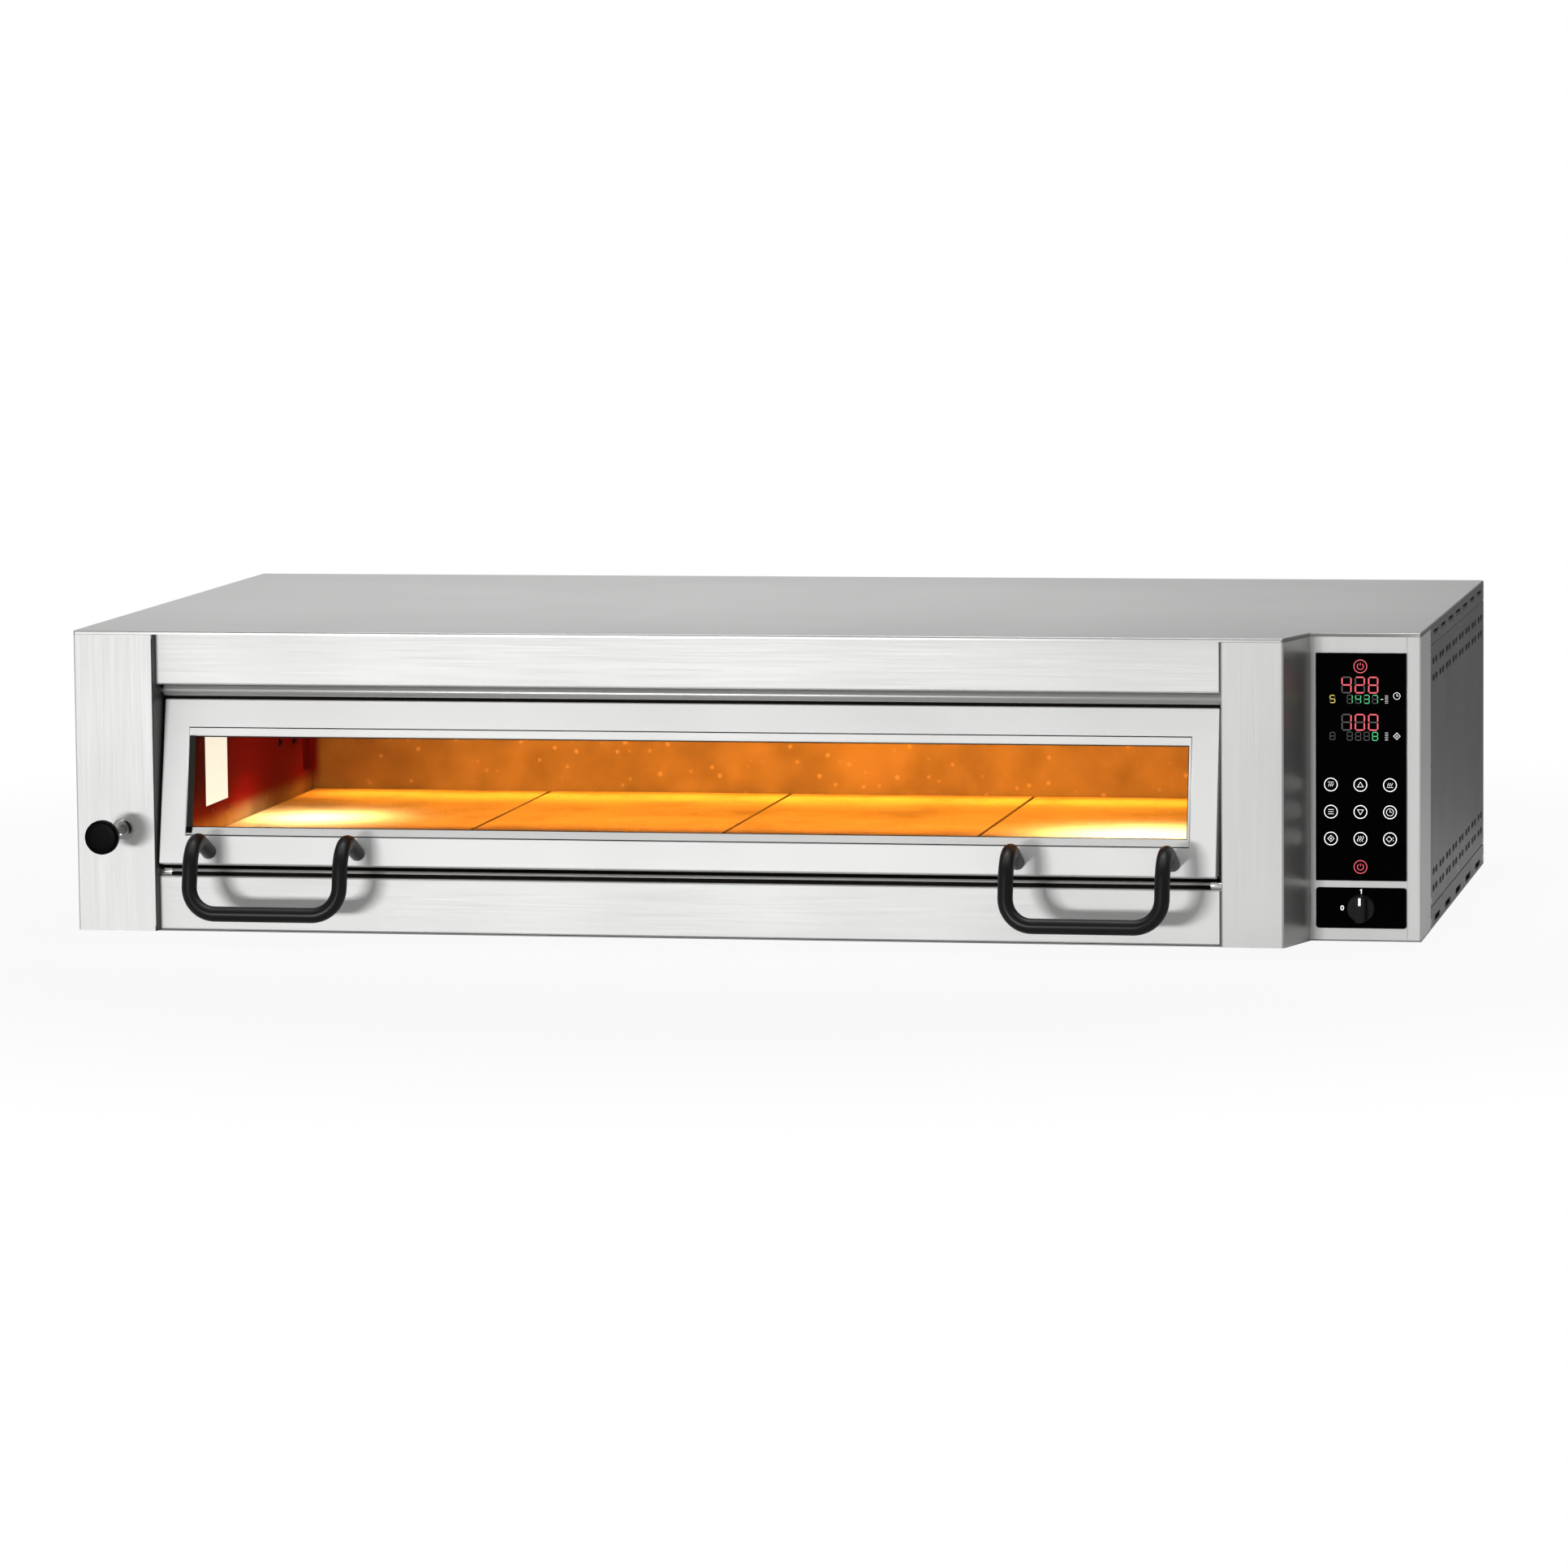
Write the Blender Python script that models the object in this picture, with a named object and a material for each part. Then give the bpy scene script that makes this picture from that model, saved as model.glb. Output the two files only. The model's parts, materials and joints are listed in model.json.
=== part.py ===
"""Countertop pizza oven: a wide electric deck oven with a leaning glass door and a recessed control end.

Metres, +Z up. The origin is in the middle of the underside, and the front faces -Y.
"""

import math

import bmesh
import bpy
from mathutils import Matrix, Vector

# Body
WIDTH = 1.770
DEPTH = 0.950
HEIGHT = 0.400
SHEET = 0.0015
FIT = 0.0003

# Front outline, seen from above
LEFT_COLUMN = 0.107
RIGHT_COLUMN = 0.080
CHAMFER_RUN = 0.024
CONTROL_RECESS = 0.095
CONTROL_WIDTH = 0.143
CORNER_POST = 0.018
CHAMFER_BEND = 0.006
COLUMN_SIDE = 0.120
COLUMN_RETURN = 0.070
FASCIA_SETBACK = 0.018

# Casing edges and seams
TOP_LIP = 0.005
SIDE_LIP = 0.027
BASE_WALL = 0.028
SEAM = 0.002
LAP = 0.012
LOWER_FASCIA = 0.0735
FASCIA_FLANGE = 0.030
FASCIA_RETURN = 0.045

# Cooling slots
SLOT_LENGTH = 0.026
SLOT_HEIGHT = 0.010
SLOT_GAP = 0.010
PAIR_PITCH = 0.089
ROW_EDGE = 0.021
ROW_PITCH = 0.022
LIP_SLOT = 0.064
LIP_SLOT_PITCH = 0.100
LIP_SLOT_HEIGHT = 0.007
BASE_SLOT = 0.070
BASE_SLOT_PITCH = 0.140
BASE_SLOT_HEIGHT = 0.009
SLOT_MARGIN = 0.008

# Door and its hinge
DOOR_LEAN = math.radians(12)
DOOR_HEIGHT = 0.219
DOOR_TUCK = 0.004
DOOR_LEFT_GAP = 0.003
DOOR_RIGHT_GAP = 0.008
DOOR_DEPTH = 0.020
SILL_GAP = 0.018
STILE = 0.035
RAIL = 0.038
BEZEL_RAIL = 0.0105
BEZEL_STILE = 0.003
BEZEL_DEPTH = 0.006
GLASS = 0.004
GLASS_LAP = 0.004
HINGE_DROP = 0.0115
HINGE_FORE = 0.005
HINGE_TUBE_RADIUS = 0.008
HINGE_END_GAP = 0.003
HINGE_PIN_RADIUS = 0.004
HINGE_PIN_REACH = 0.025
HINGE_HEAD_RADIUS = 0.007
HINGE_HEAD = 0.004
HINGE_OVER = 0.0015
RUNNING_FIT = 0.00015

# Door handles
HANDLE_RADIUS = 0.010
HANDLE_SPAN = 0.2025
HANDLE_LEFT_INSET = 0.0675
HANDLE_RIGHT_INSET = 0.056
HANDLE_RISE = 0.016
HANDLE_STANDOFF = 0.088
HANDLE_NECK = 0.038
HANDLE_DROOP = math.radians(12)
HANDLE_LEG = 0.099
HANDLE_CORNER = 0.036

# Sill bar under the door
SILL_BAR_RADIUS = 0.004
SILL_BUSH_RADIUS = 0.005
SILL_BUSH = 0.016
SILL_INSET = 0.006

# Baking chamber
CHAMBER_INSET = 0.007
CHAMBER_REACH = 0.780
HEARTH_TOP = 0.107
CHAMBER_CLEAR = 0.178
STONE = 0.020
STONE_COUNT = 4
STONE_GAP = 0.0015
STONE_LIP = 0.012
MOUTH_RIM = 0.008
MOUTH_STEP = 0.016
SEAL = 0.006
SEAL_WIDTH = 0.007

# Heating elements
ELEMENT_RADIUS = 0.004
ELEMENT_COUNT = 3
ELEMENT_LOOP = 0.045
ELEMENT_DROP = 0.012
ELEMENT_AIR = 0.004
ELEMENT_END = 0.030
ELEMENT_SIDE = 0.040

# Insulation
TOP_INSULATION = 0.070
SIDE_INSULATION = 0.040
BACK_INSULATION = 0.060

# Chamber lamps and probe
LAMP_FRONT = 0.215
LAMP_LENGTH = 0.110
LAMP_LOW = 0.036
LAMP_HEIGHT = 0.095
LAMP_DEPTH = 0.042
PROBE_RADIUS = 0.003
PROBE_REACH = 0.110
PROBE_RISE = 0.130
PROBE_SIDE = 0.260
PROBE_HEAD = 0.008

# Steam vent
VENT_SIDE = 0.063
VENT_HEIGHT = 0.137
VENT_ROD_RADIUS = 0.005
VENT_KNOB_RADIUS = 0.0225
VENT_KNOB = 0.024
VENT_KNOB_RIM = 0.004
VENT_STANDOFF = 0.080
VENT_SOCKET = 0.012
VENT_TRAVEL = 0.055
VENT_OPENING = 0.040
VENT_OPENING_HEIGHT = 0.045
VENT_BUSH_RADIUS = 0.010
VENT_BUSH_FLANGE = 0.014
VENT_BUSH = 0.006
GATE_LAP = 0.003
GATE_CLEAR = 0.003
DUCT_INSET = 0.010
DUCT_BELOW = 0.030
DUCT_ABOVE = 0.075
DUCT_SIDE = 0.030
FLUE_RADIUS = 0.028
FLUE_OUT = 0.030

# Controls
CONTROL_EDGE = 0.001
CONTROL_TOP = 0.026
CONTROL_GLASS = 0.003
CONTROL_WINDOW_EDGE = 0.010
BOARD_LAP = 0.005
BOARD_DEPTH = 0.010
SWITCH_PLATE = 0.053
SWITCH_PLATE_GAP = 0.009
SWITCH_PLATE_RISE = 0.017
SWITCH_PLATE_THICKNESS = 0.002
SWITCH_KNOB_RADIUS = 0.018
SWITCH_KNOB = 0.020
SWITCH_KNOB_RIM = 0.0025
SWITCH_SHAFT_RADIUS = 0.003
SWITCH_SHAFT = 0.022
SWITCH_HOLE = 0.0045
SWITCH_BODY = 0.044
SWITCH_BODY_DEPTH = 0.040

# Electrical compartment
FAN = 0.120
FAN_DEPTH = 0.038
FAN_BORE_RADIUS = 0.0565
FAN_HEIGHT = 0.200
FAN_SIDE = 0.025
FAN_HUB_RADIUS = 0.022
FAN_BLADE_ROOT = 0.018
FAN_BLADE_RADIUS = 0.052
FAN_BLADE = 0.030
FAN_BLADE_THICKNESS = 0.002
FAN_BLADE_PITCH = math.radians(38)
FAN_BLADES = 5
FAN_SHAFT_RADIUS = 0.003
FAN_STRUT = 0.006
CONTACTOR_WIDTH = 0.050
CONTACTOR_LENGTH = 0.080
CONTACTOR_HEIGHT = 0.085
CONTACTOR_LEDGE = 0.055
CONTACTOR_STEP = 0.013
CONTACTOR_SIDE = 0.045
CONTACTOR_BACK = 0.300
TERMINAL_LENGTH = 0.090
TERMINAL_WIDTH = 0.040
TERMINAL_HEIGHT = 0.040
TERMINAL_BACK = 0.120
GLAND_RADIUS = 0.012
GLAND_BORE = 0.007
GLAND_FLANGE = 0.016
GLAND_OUT = 0.022
GLAND_HEIGHT = 0.060

# Planes worked out from the sizes above
LEFT = -WIDTH / 2
RIGHT = WIDTH / 2
FRONT = -DEPTH / 2
BACK = DEPTH / 2
OPENING_LEFT = LEFT + LEFT_COLUMN
CONTROL_LEFT = RIGHT - CONTROL_WIDTH
CHAMFER_LEFT = CONTROL_LEFT - CHAMFER_RUN
OPENING_RIGHT = CHAMFER_LEFT - RIGHT_COLUMN
CONTROL_FACE = FRONT + CONTROL_RECESS
POST_LEFT = RIGHT - CORNER_POST
FASCIA = FRONT + FASCIA_SETBACK
LEFT_PANEL_FRONT = FRONT + COLUMN_SIDE + SEAM
RIGHT_PANEL_FRONT = CONTROL_FACE + COLUMN_SIDE + SEAM
FLOOR_SEAT = SHEET + FIT
ROOF_SEAT = HEIGHT - SHEET - FIT
BACK_PANEL = BACK - 2 * SHEET - FIT

# Door frame of reference: its axis, with the door hanging below it and leaning forward at the foot
DOOR_DROP = HINGE_DROP + DOOR_HEIGHT
DOOR_FOOT = LOWER_FASCIA + SILL_GAP
HINGE_Y = FRONT + DOOR_TUCK - HINGE_FORE * math.cos(DOOR_LEAN) + DOOR_DROP * math.sin(DOOR_LEAN)
HINGE_Z = DOOR_FOOT + HINGE_FORE * math.sin(DOOR_LEAN) + DOOR_DROP * math.cos(DOOR_LEAN)
DOOR_LEFT = OPENING_LEFT + DOOR_LEFT_GAP
DOOR_RIGHT = OPENING_RIGHT - DOOR_RIGHT_GAP
LINER = HINGE_FORE + DOOR_DEPTH + FIT
LINER_BACK = LINER + SHEET
SEAL_FRONT = LINER_BACK + FIT
MOUTH = SEAL_FRONT + SEAL + FIT
UPPER_FASCIA = HINGE_Z + HINGE_TUBE_RADIUS + HINGE_OVER

# Chamber walls, inside faces
CHAMBER_LEFT = DOOR_LEFT + CHAMBER_INSET
CHAMBER_RIGHT = DOOR_RIGHT - CHAMBER_INSET
CHAMBER_BACK = FRONT + CHAMBER_REACH
CHAMBER_FLOOR = HEARTH_TOP - STONE - FIT
CHAMBER_ROOF = HEARTH_TOP + CHAMBER_CLEAR
MOUTH_FLOOR = CHAMBER_FLOOR + STONE_LIP
WALL_LEFT = CHAMBER_LEFT - SHEET
WALL_RIGHT = CHAMBER_RIGHT + SHEET
WALL_BACK = CHAMBER_BACK + FIT + SHEET
UPPER_ELEMENT = CHAMBER_ROOF - ELEMENT_DROP
LOWER_ELEMENT = CHAMBER_FLOOR - SHEET - ELEMENT_AIR - ELEMENT_RADIUS
LOWER_INSULATION = LOWER_ELEMENT - ELEMENT_RADIUS - FIT
UPPER_INSULATION = CHAMBER_ROOF + SHEET + FIT
LAMP_Y = FRONT + LAMP_FRONT
LAMP_Z = HEARTH_TOP + LAMP_LOW
ELEMENT_TIP = WALL_RIGHT + FIT + SIDE_INSULATION + ELEMENT_END

# Steam vent places
VENT_X = LEFT + VENT_SIDE
GATE_LENGTH = VENT_OPENING + 2 * GATE_LAP
DUCT_END = CHAMBER_BACK - DUCT_INSET
DUCT_FRONT = DUCT_END - 2 * SHEET - 2 * GATE_CLEAR - GATE_LENGTH - VENT_TRAVEL
GATE_FRONT = DUCT_FRONT + SHEET + GATE_CLEAR
VENT_OPENING_FRONT = GATE_FRONT + VENT_TRAVEL + GATE_LAP
VENT_OPENING_LOW = HEARTH_TOP + DUCT_BELOW
DUCT_LOW = VENT_HEIGHT - DUCT_BELOW
DUCT_HIGH = VENT_HEIGHT + DUCT_ABOVE
DUCT_LEFT = VENT_X - DUCT_SIDE
FLUE_X = (DUCT_LEFT + WALL_LEFT) / 2
FLUE_Z = (DUCT_LOW + DUCT_HIGH) / 2

# Control places
CONTROL_X0 = CONTROL_LEFT + CHAMFER_BEND + CONTROL_EDGE
CONTROL_X1 = POST_LEFT - CONTROL_EDGE
SWITCH_PLATE_LOW = SWITCH_PLATE_RISE
SWITCH_PLATE_HIGH = SWITCH_PLATE_LOW + SWITCH_PLATE
CONTROL_LOW = SWITCH_PLATE_HIGH + SWITCH_PLATE_GAP
CONTROL_HIGH = HEIGHT - CONTROL_TOP
SWITCH_X = (CONTROL_X0 + CONTROL_X1) / 2
SWITCH_Z = (SWITCH_PLATE_LOW + SWITCH_PLATE_HIGH) / 2
SWITCH_PLATE_FACE = CONTROL_FACE - FIT - SWITCH_PLATE_THICKNESS

# Electrical places
FAN_X = RIGHT - FAN_SIDE - FAN / 2
FAN_BACK = BACK_PANEL - FIT
FAN_FRONT = FAN_BACK - FAN_DEPTH
GLAND_X = FAN_X

# Facets and overlaps of the mesh work
CUT = 0.010
SIDES = 24
SMALL_SIDES = 12
TUBE_SIDES = 8
BEND_STEPS = 6
CREASE = math.radians(35)


for leftover in list(bpy.data.objects):
    bpy.data.objects.remove(leftover, do_unlink=True)


def finish(name, colour, roughness, metallic=0.0, alpha=1.0):
    """One Principled material with the piece's colour, roughness and metallic value."""
    material = bpy.data.materials.new(name)
    material.use_nodes = True
    shader = material.node_tree.nodes["Principled BSDF"]
    shader.inputs["Base Color"].default_value = (*colour, 1.0)
    shader.inputs["Roughness"].default_value = roughness
    shader.inputs["Metallic"].default_value = metallic
    shader.inputs["Alpha"].default_value = alpha
    material.diffuse_color = (*colour, alpha)
    return material


STAINLESS = finish("brushed_stainless", (0.74, 0.74, 0.73), 0.32, 1.0)
GREY_PANEL = finish("grey_side_sheet", (0.20, 0.20, 0.20), 0.50, 0.6)
BRIGHT = finish("polished_steel", (0.82, 0.82, 0.82), 0.12, 1.0)
ALUMINISED = finish("aluminised_steel", (0.46, 0.42, 0.38), 0.55, 0.8)
BLACK_COAT = finish("black_powder_coat", (0.012, 0.012, 0.012), 0.55)
BLACK_PLASTIC = finish("black_plastic", (0.010, 0.010, 0.011), 0.35)
OVEN_GLASS = finish("oven_glass", (0.90, 0.86, 0.80), 0.04, 0.0, 0.25)
PANEL_GLASS = finish("black_panel_glass", (0.006, 0.006, 0.007), 0.08)
LAMP_GLASS = finish("lamp_glass", (1.0, 0.86, 0.55), 0.25)
REFRACTORY = finish("refractory_stone", (0.60, 0.48, 0.34), 0.90)
WOOL = finish("mineral_wool", (0.62, 0.58, 0.46), 0.95)
SEAL_ROPE = finish("glass_fibre_rope", (0.55, 0.54, 0.50), 0.90)
ELEMENT_SHEATH = finish("element_sheath", (0.16, 0.14, 0.13), 0.45, 0.8)
BOARD = finish("circuit_board", (0.02, 0.14, 0.06), 0.50)
PALE_PLASTIC = finish("pale_plastic", (0.55, 0.55, 0.53), 0.45)


def place(axis, across, up, along):
    """A point from its two outline values and its value along the extrusion axis."""
    return {"X": (along, across, up), "Y": (across, along, up), "Z": (across, up, along)}[axis]


def loft(loops, closed=False):
    """Skin through loops of equal count, capped at both ends or closed into a ring."""
    count = len(loops[0])
    points = [point for loop in loops for point in loop]
    pairs = list(range(len(loops) - 1))
    faces = []
    if closed:
        pairs.append(len(loops) - 1)
    else:
        faces.append(tuple(range(count)))
        faces.append(tuple((len(loops) - 1) * count + i for i in range(count)))
    for first in pairs:
        second = (first + 1) % len(loops)
        for i in range(count):
            j = (i + 1) % count
            faces.append((first * count + i, first * count + j, second * count + j, second * count + i))
    return points, faces


def prism(outline, axis, low, high):
    """An outline carried straight along one axis."""
    return loft([[place(axis, a, b, along) for a, b in outline] for along in (low, high)])


def box(x0, x1, y0, y1, z0, z1):
    """A block between two corners."""
    return prism([(x0, y0), (x1, y0), (x1, y1), (x0, y1)], "Z", z0, z1)


def circle(radius, axis, centre, along, sides=SIDES):
    """A loop of points round an axis, at one place along it."""
    turns = [2 * math.pi * i / sides for i in range(sides)]
    return [
        place(axis, centre[0] + radius * math.cos(t), centre[1] + radius * math.sin(t), along)
        for t in turns
    ]


def turned(profile, axis, centre, sides=SIDES, closed=False):
    """A turned solid from (radius, along) pairs; a closed profile keeps clear of the axis as a ring."""
    return loft([circle(radius, axis, centre, along, sides) for radius, along in profile], closed)


def offset(path, distance):
    """The path moved sideways to its left by a distance, with mitred corners."""
    moved = []
    for i, point in enumerate(path):
        here = Vector(point)
        normals = []
        if i > 0:
            step = (here - Vector(path[i - 1])).normalized()
            normals.append(Vector((-step.y, step.x)))
        if i < len(path) - 1:
            step = (Vector(path[i + 1]) - here).normalized()
            normals.append(Vector((-step.y, step.x)))
        mean = sum(normals, Vector((0, 0))).normalized()
        moved.append(tuple(here + mean * (distance / mean.dot(normals[0]))))
    return moved


def folded(path, axis, low, high):
    """Sheet metal bent along a path of its outer face, with its thickness to the path's left."""
    return prism(path + offset(path, SHEET)[::-1], axis, low, high)


def inset(outline, distance):
    """A closed outline, given anticlockwise, moved inwards."""
    around = outline[-1:] + outline + outline[:1]
    return offset(around, distance)[1:-1]


def rounded(corner, before, after, radius):
    """Points of an arc that replaces a corner between two straight runs."""
    corner = Vector(corner)
    first = (Vector(before) - corner).normalized()
    last = (Vector(after) - corner).normalized()
    half = first.angle(last) / 2
    reach = radius / math.tan(half)
    middle = corner + (first + last).normalized() * (radius / math.sin(half))
    start = corner + first * reach - middle
    end = corner + last * reach - middle
    turn = start.angle_signed(end)
    return [
        tuple(middle + Matrix.Rotation(-turn * i / BEND_STEPS, 2) @ start)
        for i in range(BEND_STEPS + 1)
    ]


def swept(path, radius, sides):
    """A round tube along 3-D points, its section carried from point to point without twist."""
    points = [Vector(p) for p in path]
    tangents = []
    for i in range(len(points)):
        ahead = points[min(i + 1, len(points) - 1)]
        behind = points[max(i - 1, 0)]
        tangents.append((ahead - behind).normalized())
    side = tangents[0].orthogonal().normalized()
    loops = []
    for i, (point, tangent) in enumerate(zip(points, tangents)):
        if i:
            side = tangents[i - 1].rotation_difference(tangent) @ side
        other = tangent.cross(side)
        loop = []
        for k in range(sides):
            turn = 2 * math.pi * k / sides
            loop.append(tuple(point + radius * (math.cos(turn) * side + math.sin(turn) * other)))
        loops.append(loop)
    return loft(loops)


def arc(centre, start, end, angle):
    """Points from one direction towards another round a centre; start and end are square radii."""
    centre = Vector(centre)
    steps = [angle * i / BEND_STEPS for i in range(BEND_STEPS + 1)]
    return [centre + math.cos(t) * Vector(start) + math.sin(t) * Vector(end) for t in steps]


def merged(shapes):
    """Several shapes in one mesh."""
    points = []
    faces = []
    for more_points, more_faces in shapes:
        start = len(points)
        points.extend(more_points)
        faces.extend(tuple(start + i for i in face) for face in more_faces)
    return points, faces


def add(name, shape, material, parent=None):
    """One named object from a closed shape, with its faces pointing out."""
    mesh = bpy.data.meshes.new(name)
    mesh.from_pydata(shape[0], [], shape[1])
    work = bmesh.new()
    work.from_mesh(mesh)
    bmesh.ops.recalc_face_normals(work, faces=work.faces)
    work.to_mesh(mesh)
    work.free()
    mesh.shade_smooth()
    mesh.set_sharp_from_angle(angle=CREASE)
    mesh.materials.append(material)
    body = bpy.data.objects.new(name, mesh)
    bpy.context.scene.collection.objects.link(body)
    body.parent = parent
    return body


def pivot(name, location, lean=0.0):
    """An empty on a joint's axis, which its moving pieces are parented to."""
    axis = bpy.data.objects.new(name, None)
    bpy.context.scene.collection.objects.link(axis)
    axis.location = location
    axis.rotation_euler = (-lean, 0, 0)
    return axis


def about(shape, axis):
    """A shape's points as seen from an upright pivot."""
    points, faces = shape
    return [tuple(Vector(point) - axis.location) for point in points], faces


def combine(body, shape, operation, label):
    """A Boolean on a body with a hidden tool shape."""
    tool = add(f"{body.name}_{label}", shape, body.data.materials[0], body.parent)
    tool.hide_render = True
    tool.display_type = "WIRE"
    modifier = body.modifiers.new(label, "BOOLEAN")
    modifier.operation = operation
    modifier.object = tool
    modifier.solver = "EXACT"


def cut(body, shapes, label="cut"):
    """Take shapes out of a body."""
    combine(body, merged(shapes), "DIFFERENCE", label)


def join(body, shape, label):
    """Weld a shape to a body."""
    combine(body, shape, "UNION", label)


def hole(axis, centre, radius, low, high, sides=SIDES):
    """A round cutter along an axis."""
    return turned([(radius, low), (radius, high)], axis, centre, sides)


def stadium(across, up, length, height):
    """Round-ended slot outline, each end a half circle of four points."""
    radius = height / 2
    outline = []
    for side in (1, -1):
        for turn in (-67.5, -22.5, 22.5, 67.5):
            angle = math.radians(turn)
            run = length / 2 - radius + radius * math.cos(angle)
            outline.append((across + side * run, up + side * radius * math.sin(angle)))
    return outline


def spread(low, high, pitch):
    """Centres at one pitch, as many as fit, in the middle of a run."""
    count = max(1, int((high - low) / pitch))
    middle = (low + high) / 2
    return [middle + pitch * (i - (count - 1) / 2) for i in range(count)]


def outline_of_body():
    """The oven's plan: straight columns, then the chamfer back to the control face."""
    return [
        (LEFT, FRONT),
        (CHAMFER_LEFT, FRONT),
        (CONTROL_LEFT, CONTROL_FACE),
        (RIGHT, CONTROL_FACE),
        (RIGHT, BACK),
        (LEFT, BACK),
    ]


def side_slots(side, front, rows, length, height, centres):
    """Slots through one side sheet, at the given rows and centres."""
    wall = LEFT if side < 0 else RIGHT
    return [
        prism(stadium(y, z, length, height), "X", wall - CUT, wall + CUT)
        for z in rows
        for y in centres
        if y > front
    ]


def build_top_cover():
    """Roof sheet with a narrow front lip, deeper side and back lips, and a row of slots in each side lip."""
    plan = outline_of_body()
    low = HEIGHT - SIDE_LIP
    cover = add("top_cover", prism(plan, "Z", low, HEIGHT), STAINLESS)
    cut(cover, [prism(inset(plan, SHEET), "Z", low - CUT, HEIGHT - SHEET)], "hollow")
    front_lips = [
        (LEFT - CUT, FRONT - CUT),
        (RIGHT + CUT, FRONT - CUT),
        (RIGHT + CUT, RIGHT_PANEL_FRONT),
        (0, RIGHT_PANEL_FRONT),
        (0, LEFT_PANEL_FRONT),
        (LEFT - CUT, LEFT_PANEL_FRONT),
    ]
    cut(cover, [prism(front_lips, "Z", low - CUT, HEIGHT - TOP_LIP)], "front_lips")
    row = [HEIGHT - SIDE_LIP / 2]
    slots = []
    for side, front in ((-1, LEFT_PANEL_FRONT), (1, RIGHT_PANEL_FRONT)):
        centres = spread(front + SLOT_MARGIN, BACK - SLOT_MARGIN, LIP_SLOT_PITCH)
        slots += side_slots(side, front, row, LIP_SLOT, LIP_SLOT_HEIGHT, centres)
    cut(cover, slots, "slots")


def build_base_pan():
    """Floor sheet with an upstand along each side, slotted for air."""
    plan = outline_of_body()
    plan[0] = (LEFT, FASCIA)
    plan[1] = (CHAMFER_LEFT, FASCIA)
    pan = add("base_pan", prism(plan, "Z", 0, BASE_WALL), GREY_PANEL)
    hollow = [
        (LEFT - CUT, FRONT - CUT),
        (RIGHT + CUT, FRONT - CUT),
        (RIGHT + CUT, RIGHT_PANEL_FRONT),
        (RIGHT - SHEET, RIGHT_PANEL_FRONT),
        (RIGHT - SHEET, BACK + CUT),
        (LEFT + SHEET, BACK + CUT),
        (LEFT + SHEET, LEFT_PANEL_FRONT),
        (LEFT - CUT, LEFT_PANEL_FRONT),
    ]
    cut(pan, [prism(hollow, "Z", SHEET, BASE_WALL + CUT)], "hollow")
    row = [(SHEET + BASE_WALL - LAP) / 2]
    slots = []
    for side, front in ((-1, LEFT_PANEL_FRONT), (1, RIGHT_PANEL_FRONT)):
        centres = spread(front + SLOT_MARGIN, BACK - SLOT_MARGIN, BASE_SLOT_PITCH)
        slots += side_slots(side, front, row, BASE_SLOT, BASE_SLOT_HEIGHT, centres)
    cut(pan, slots, "slots")


def build_side_panels():
    """Side sheets joggled behind the roof lip and the base upstand, with pairs of slots in four rows."""
    step = SHEET + FIT
    low = BASE_WALL + SEAM
    high = HEIGHT - SIDE_LIP - SEAM
    rows = [low + ROW_EDGE, low + ROW_EDGE + ROW_PITCH, high - ROW_EDGE - ROW_PITCH, high - ROW_EDGE]
    for name, side, front in (
        ("side_panel_left", -1, LEFT_PANEL_FRONT),
        ("side_panel_right", 1, RIGHT_PANEL_FRONT),
    ):
        wall = side * WIDTH / 2
        path = [
            (wall - side * step, BASE_WALL - LAP),
            (wall - side * step, BASE_WALL + FIT),
            (wall, low),
            (wall, high),
            (wall - side * step, HEIGHT - SIDE_LIP - FIT),
            (wall - side * step, HEIGHT - SIDE_LIP + LAP),
        ]
        outer_first = path if side > 0 else path[::-1]
        panel = add(name, folded(outer_first, "Y", front, BACK - SHEET - FIT), GREY_PANEL)
        centres = []
        for pair in spread(front + SLOT_MARGIN, BACK - SLOT_MARGIN, PAIR_PITCH):
            apart = (SLOT_LENGTH + SLOT_GAP) / 2
            centres += [pair - apart, pair + apart]
        cut(panel, side_slots(side, front, rows, SLOT_LENGTH, SLOT_HEIGHT, centres), "slots")


def build_back_panel():
    """Back sheet inside the roof's back lip, pierced for the fan, the supply gland and the flue."""
    edge = 2 * SHEET + 2 * FIT
    shape = box(LEFT + edge, RIGHT - edge, BACK_PANEL, BACK_PANEL + SHEET, FLOOR_SEAT, ROOF_SEAT)
    panel = add("back_panel", shape, GREY_PANEL)
    through = (BACK_PANEL - CUT, BACK_PANEL + CUT)
    cut(
        panel,
        [
            hole("Y", (FAN_X, FAN_HEIGHT), FAN_BORE_RADIUS, *through),
            hole("Y", (GLAND_X, GLAND_HEIGHT), GLAND_RADIUS + FIT, *through),
            hole("Y", (FLUE_X, FLUE_Z), FLUE_RADIUS + FIT, *through),
        ],
    )


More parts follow.
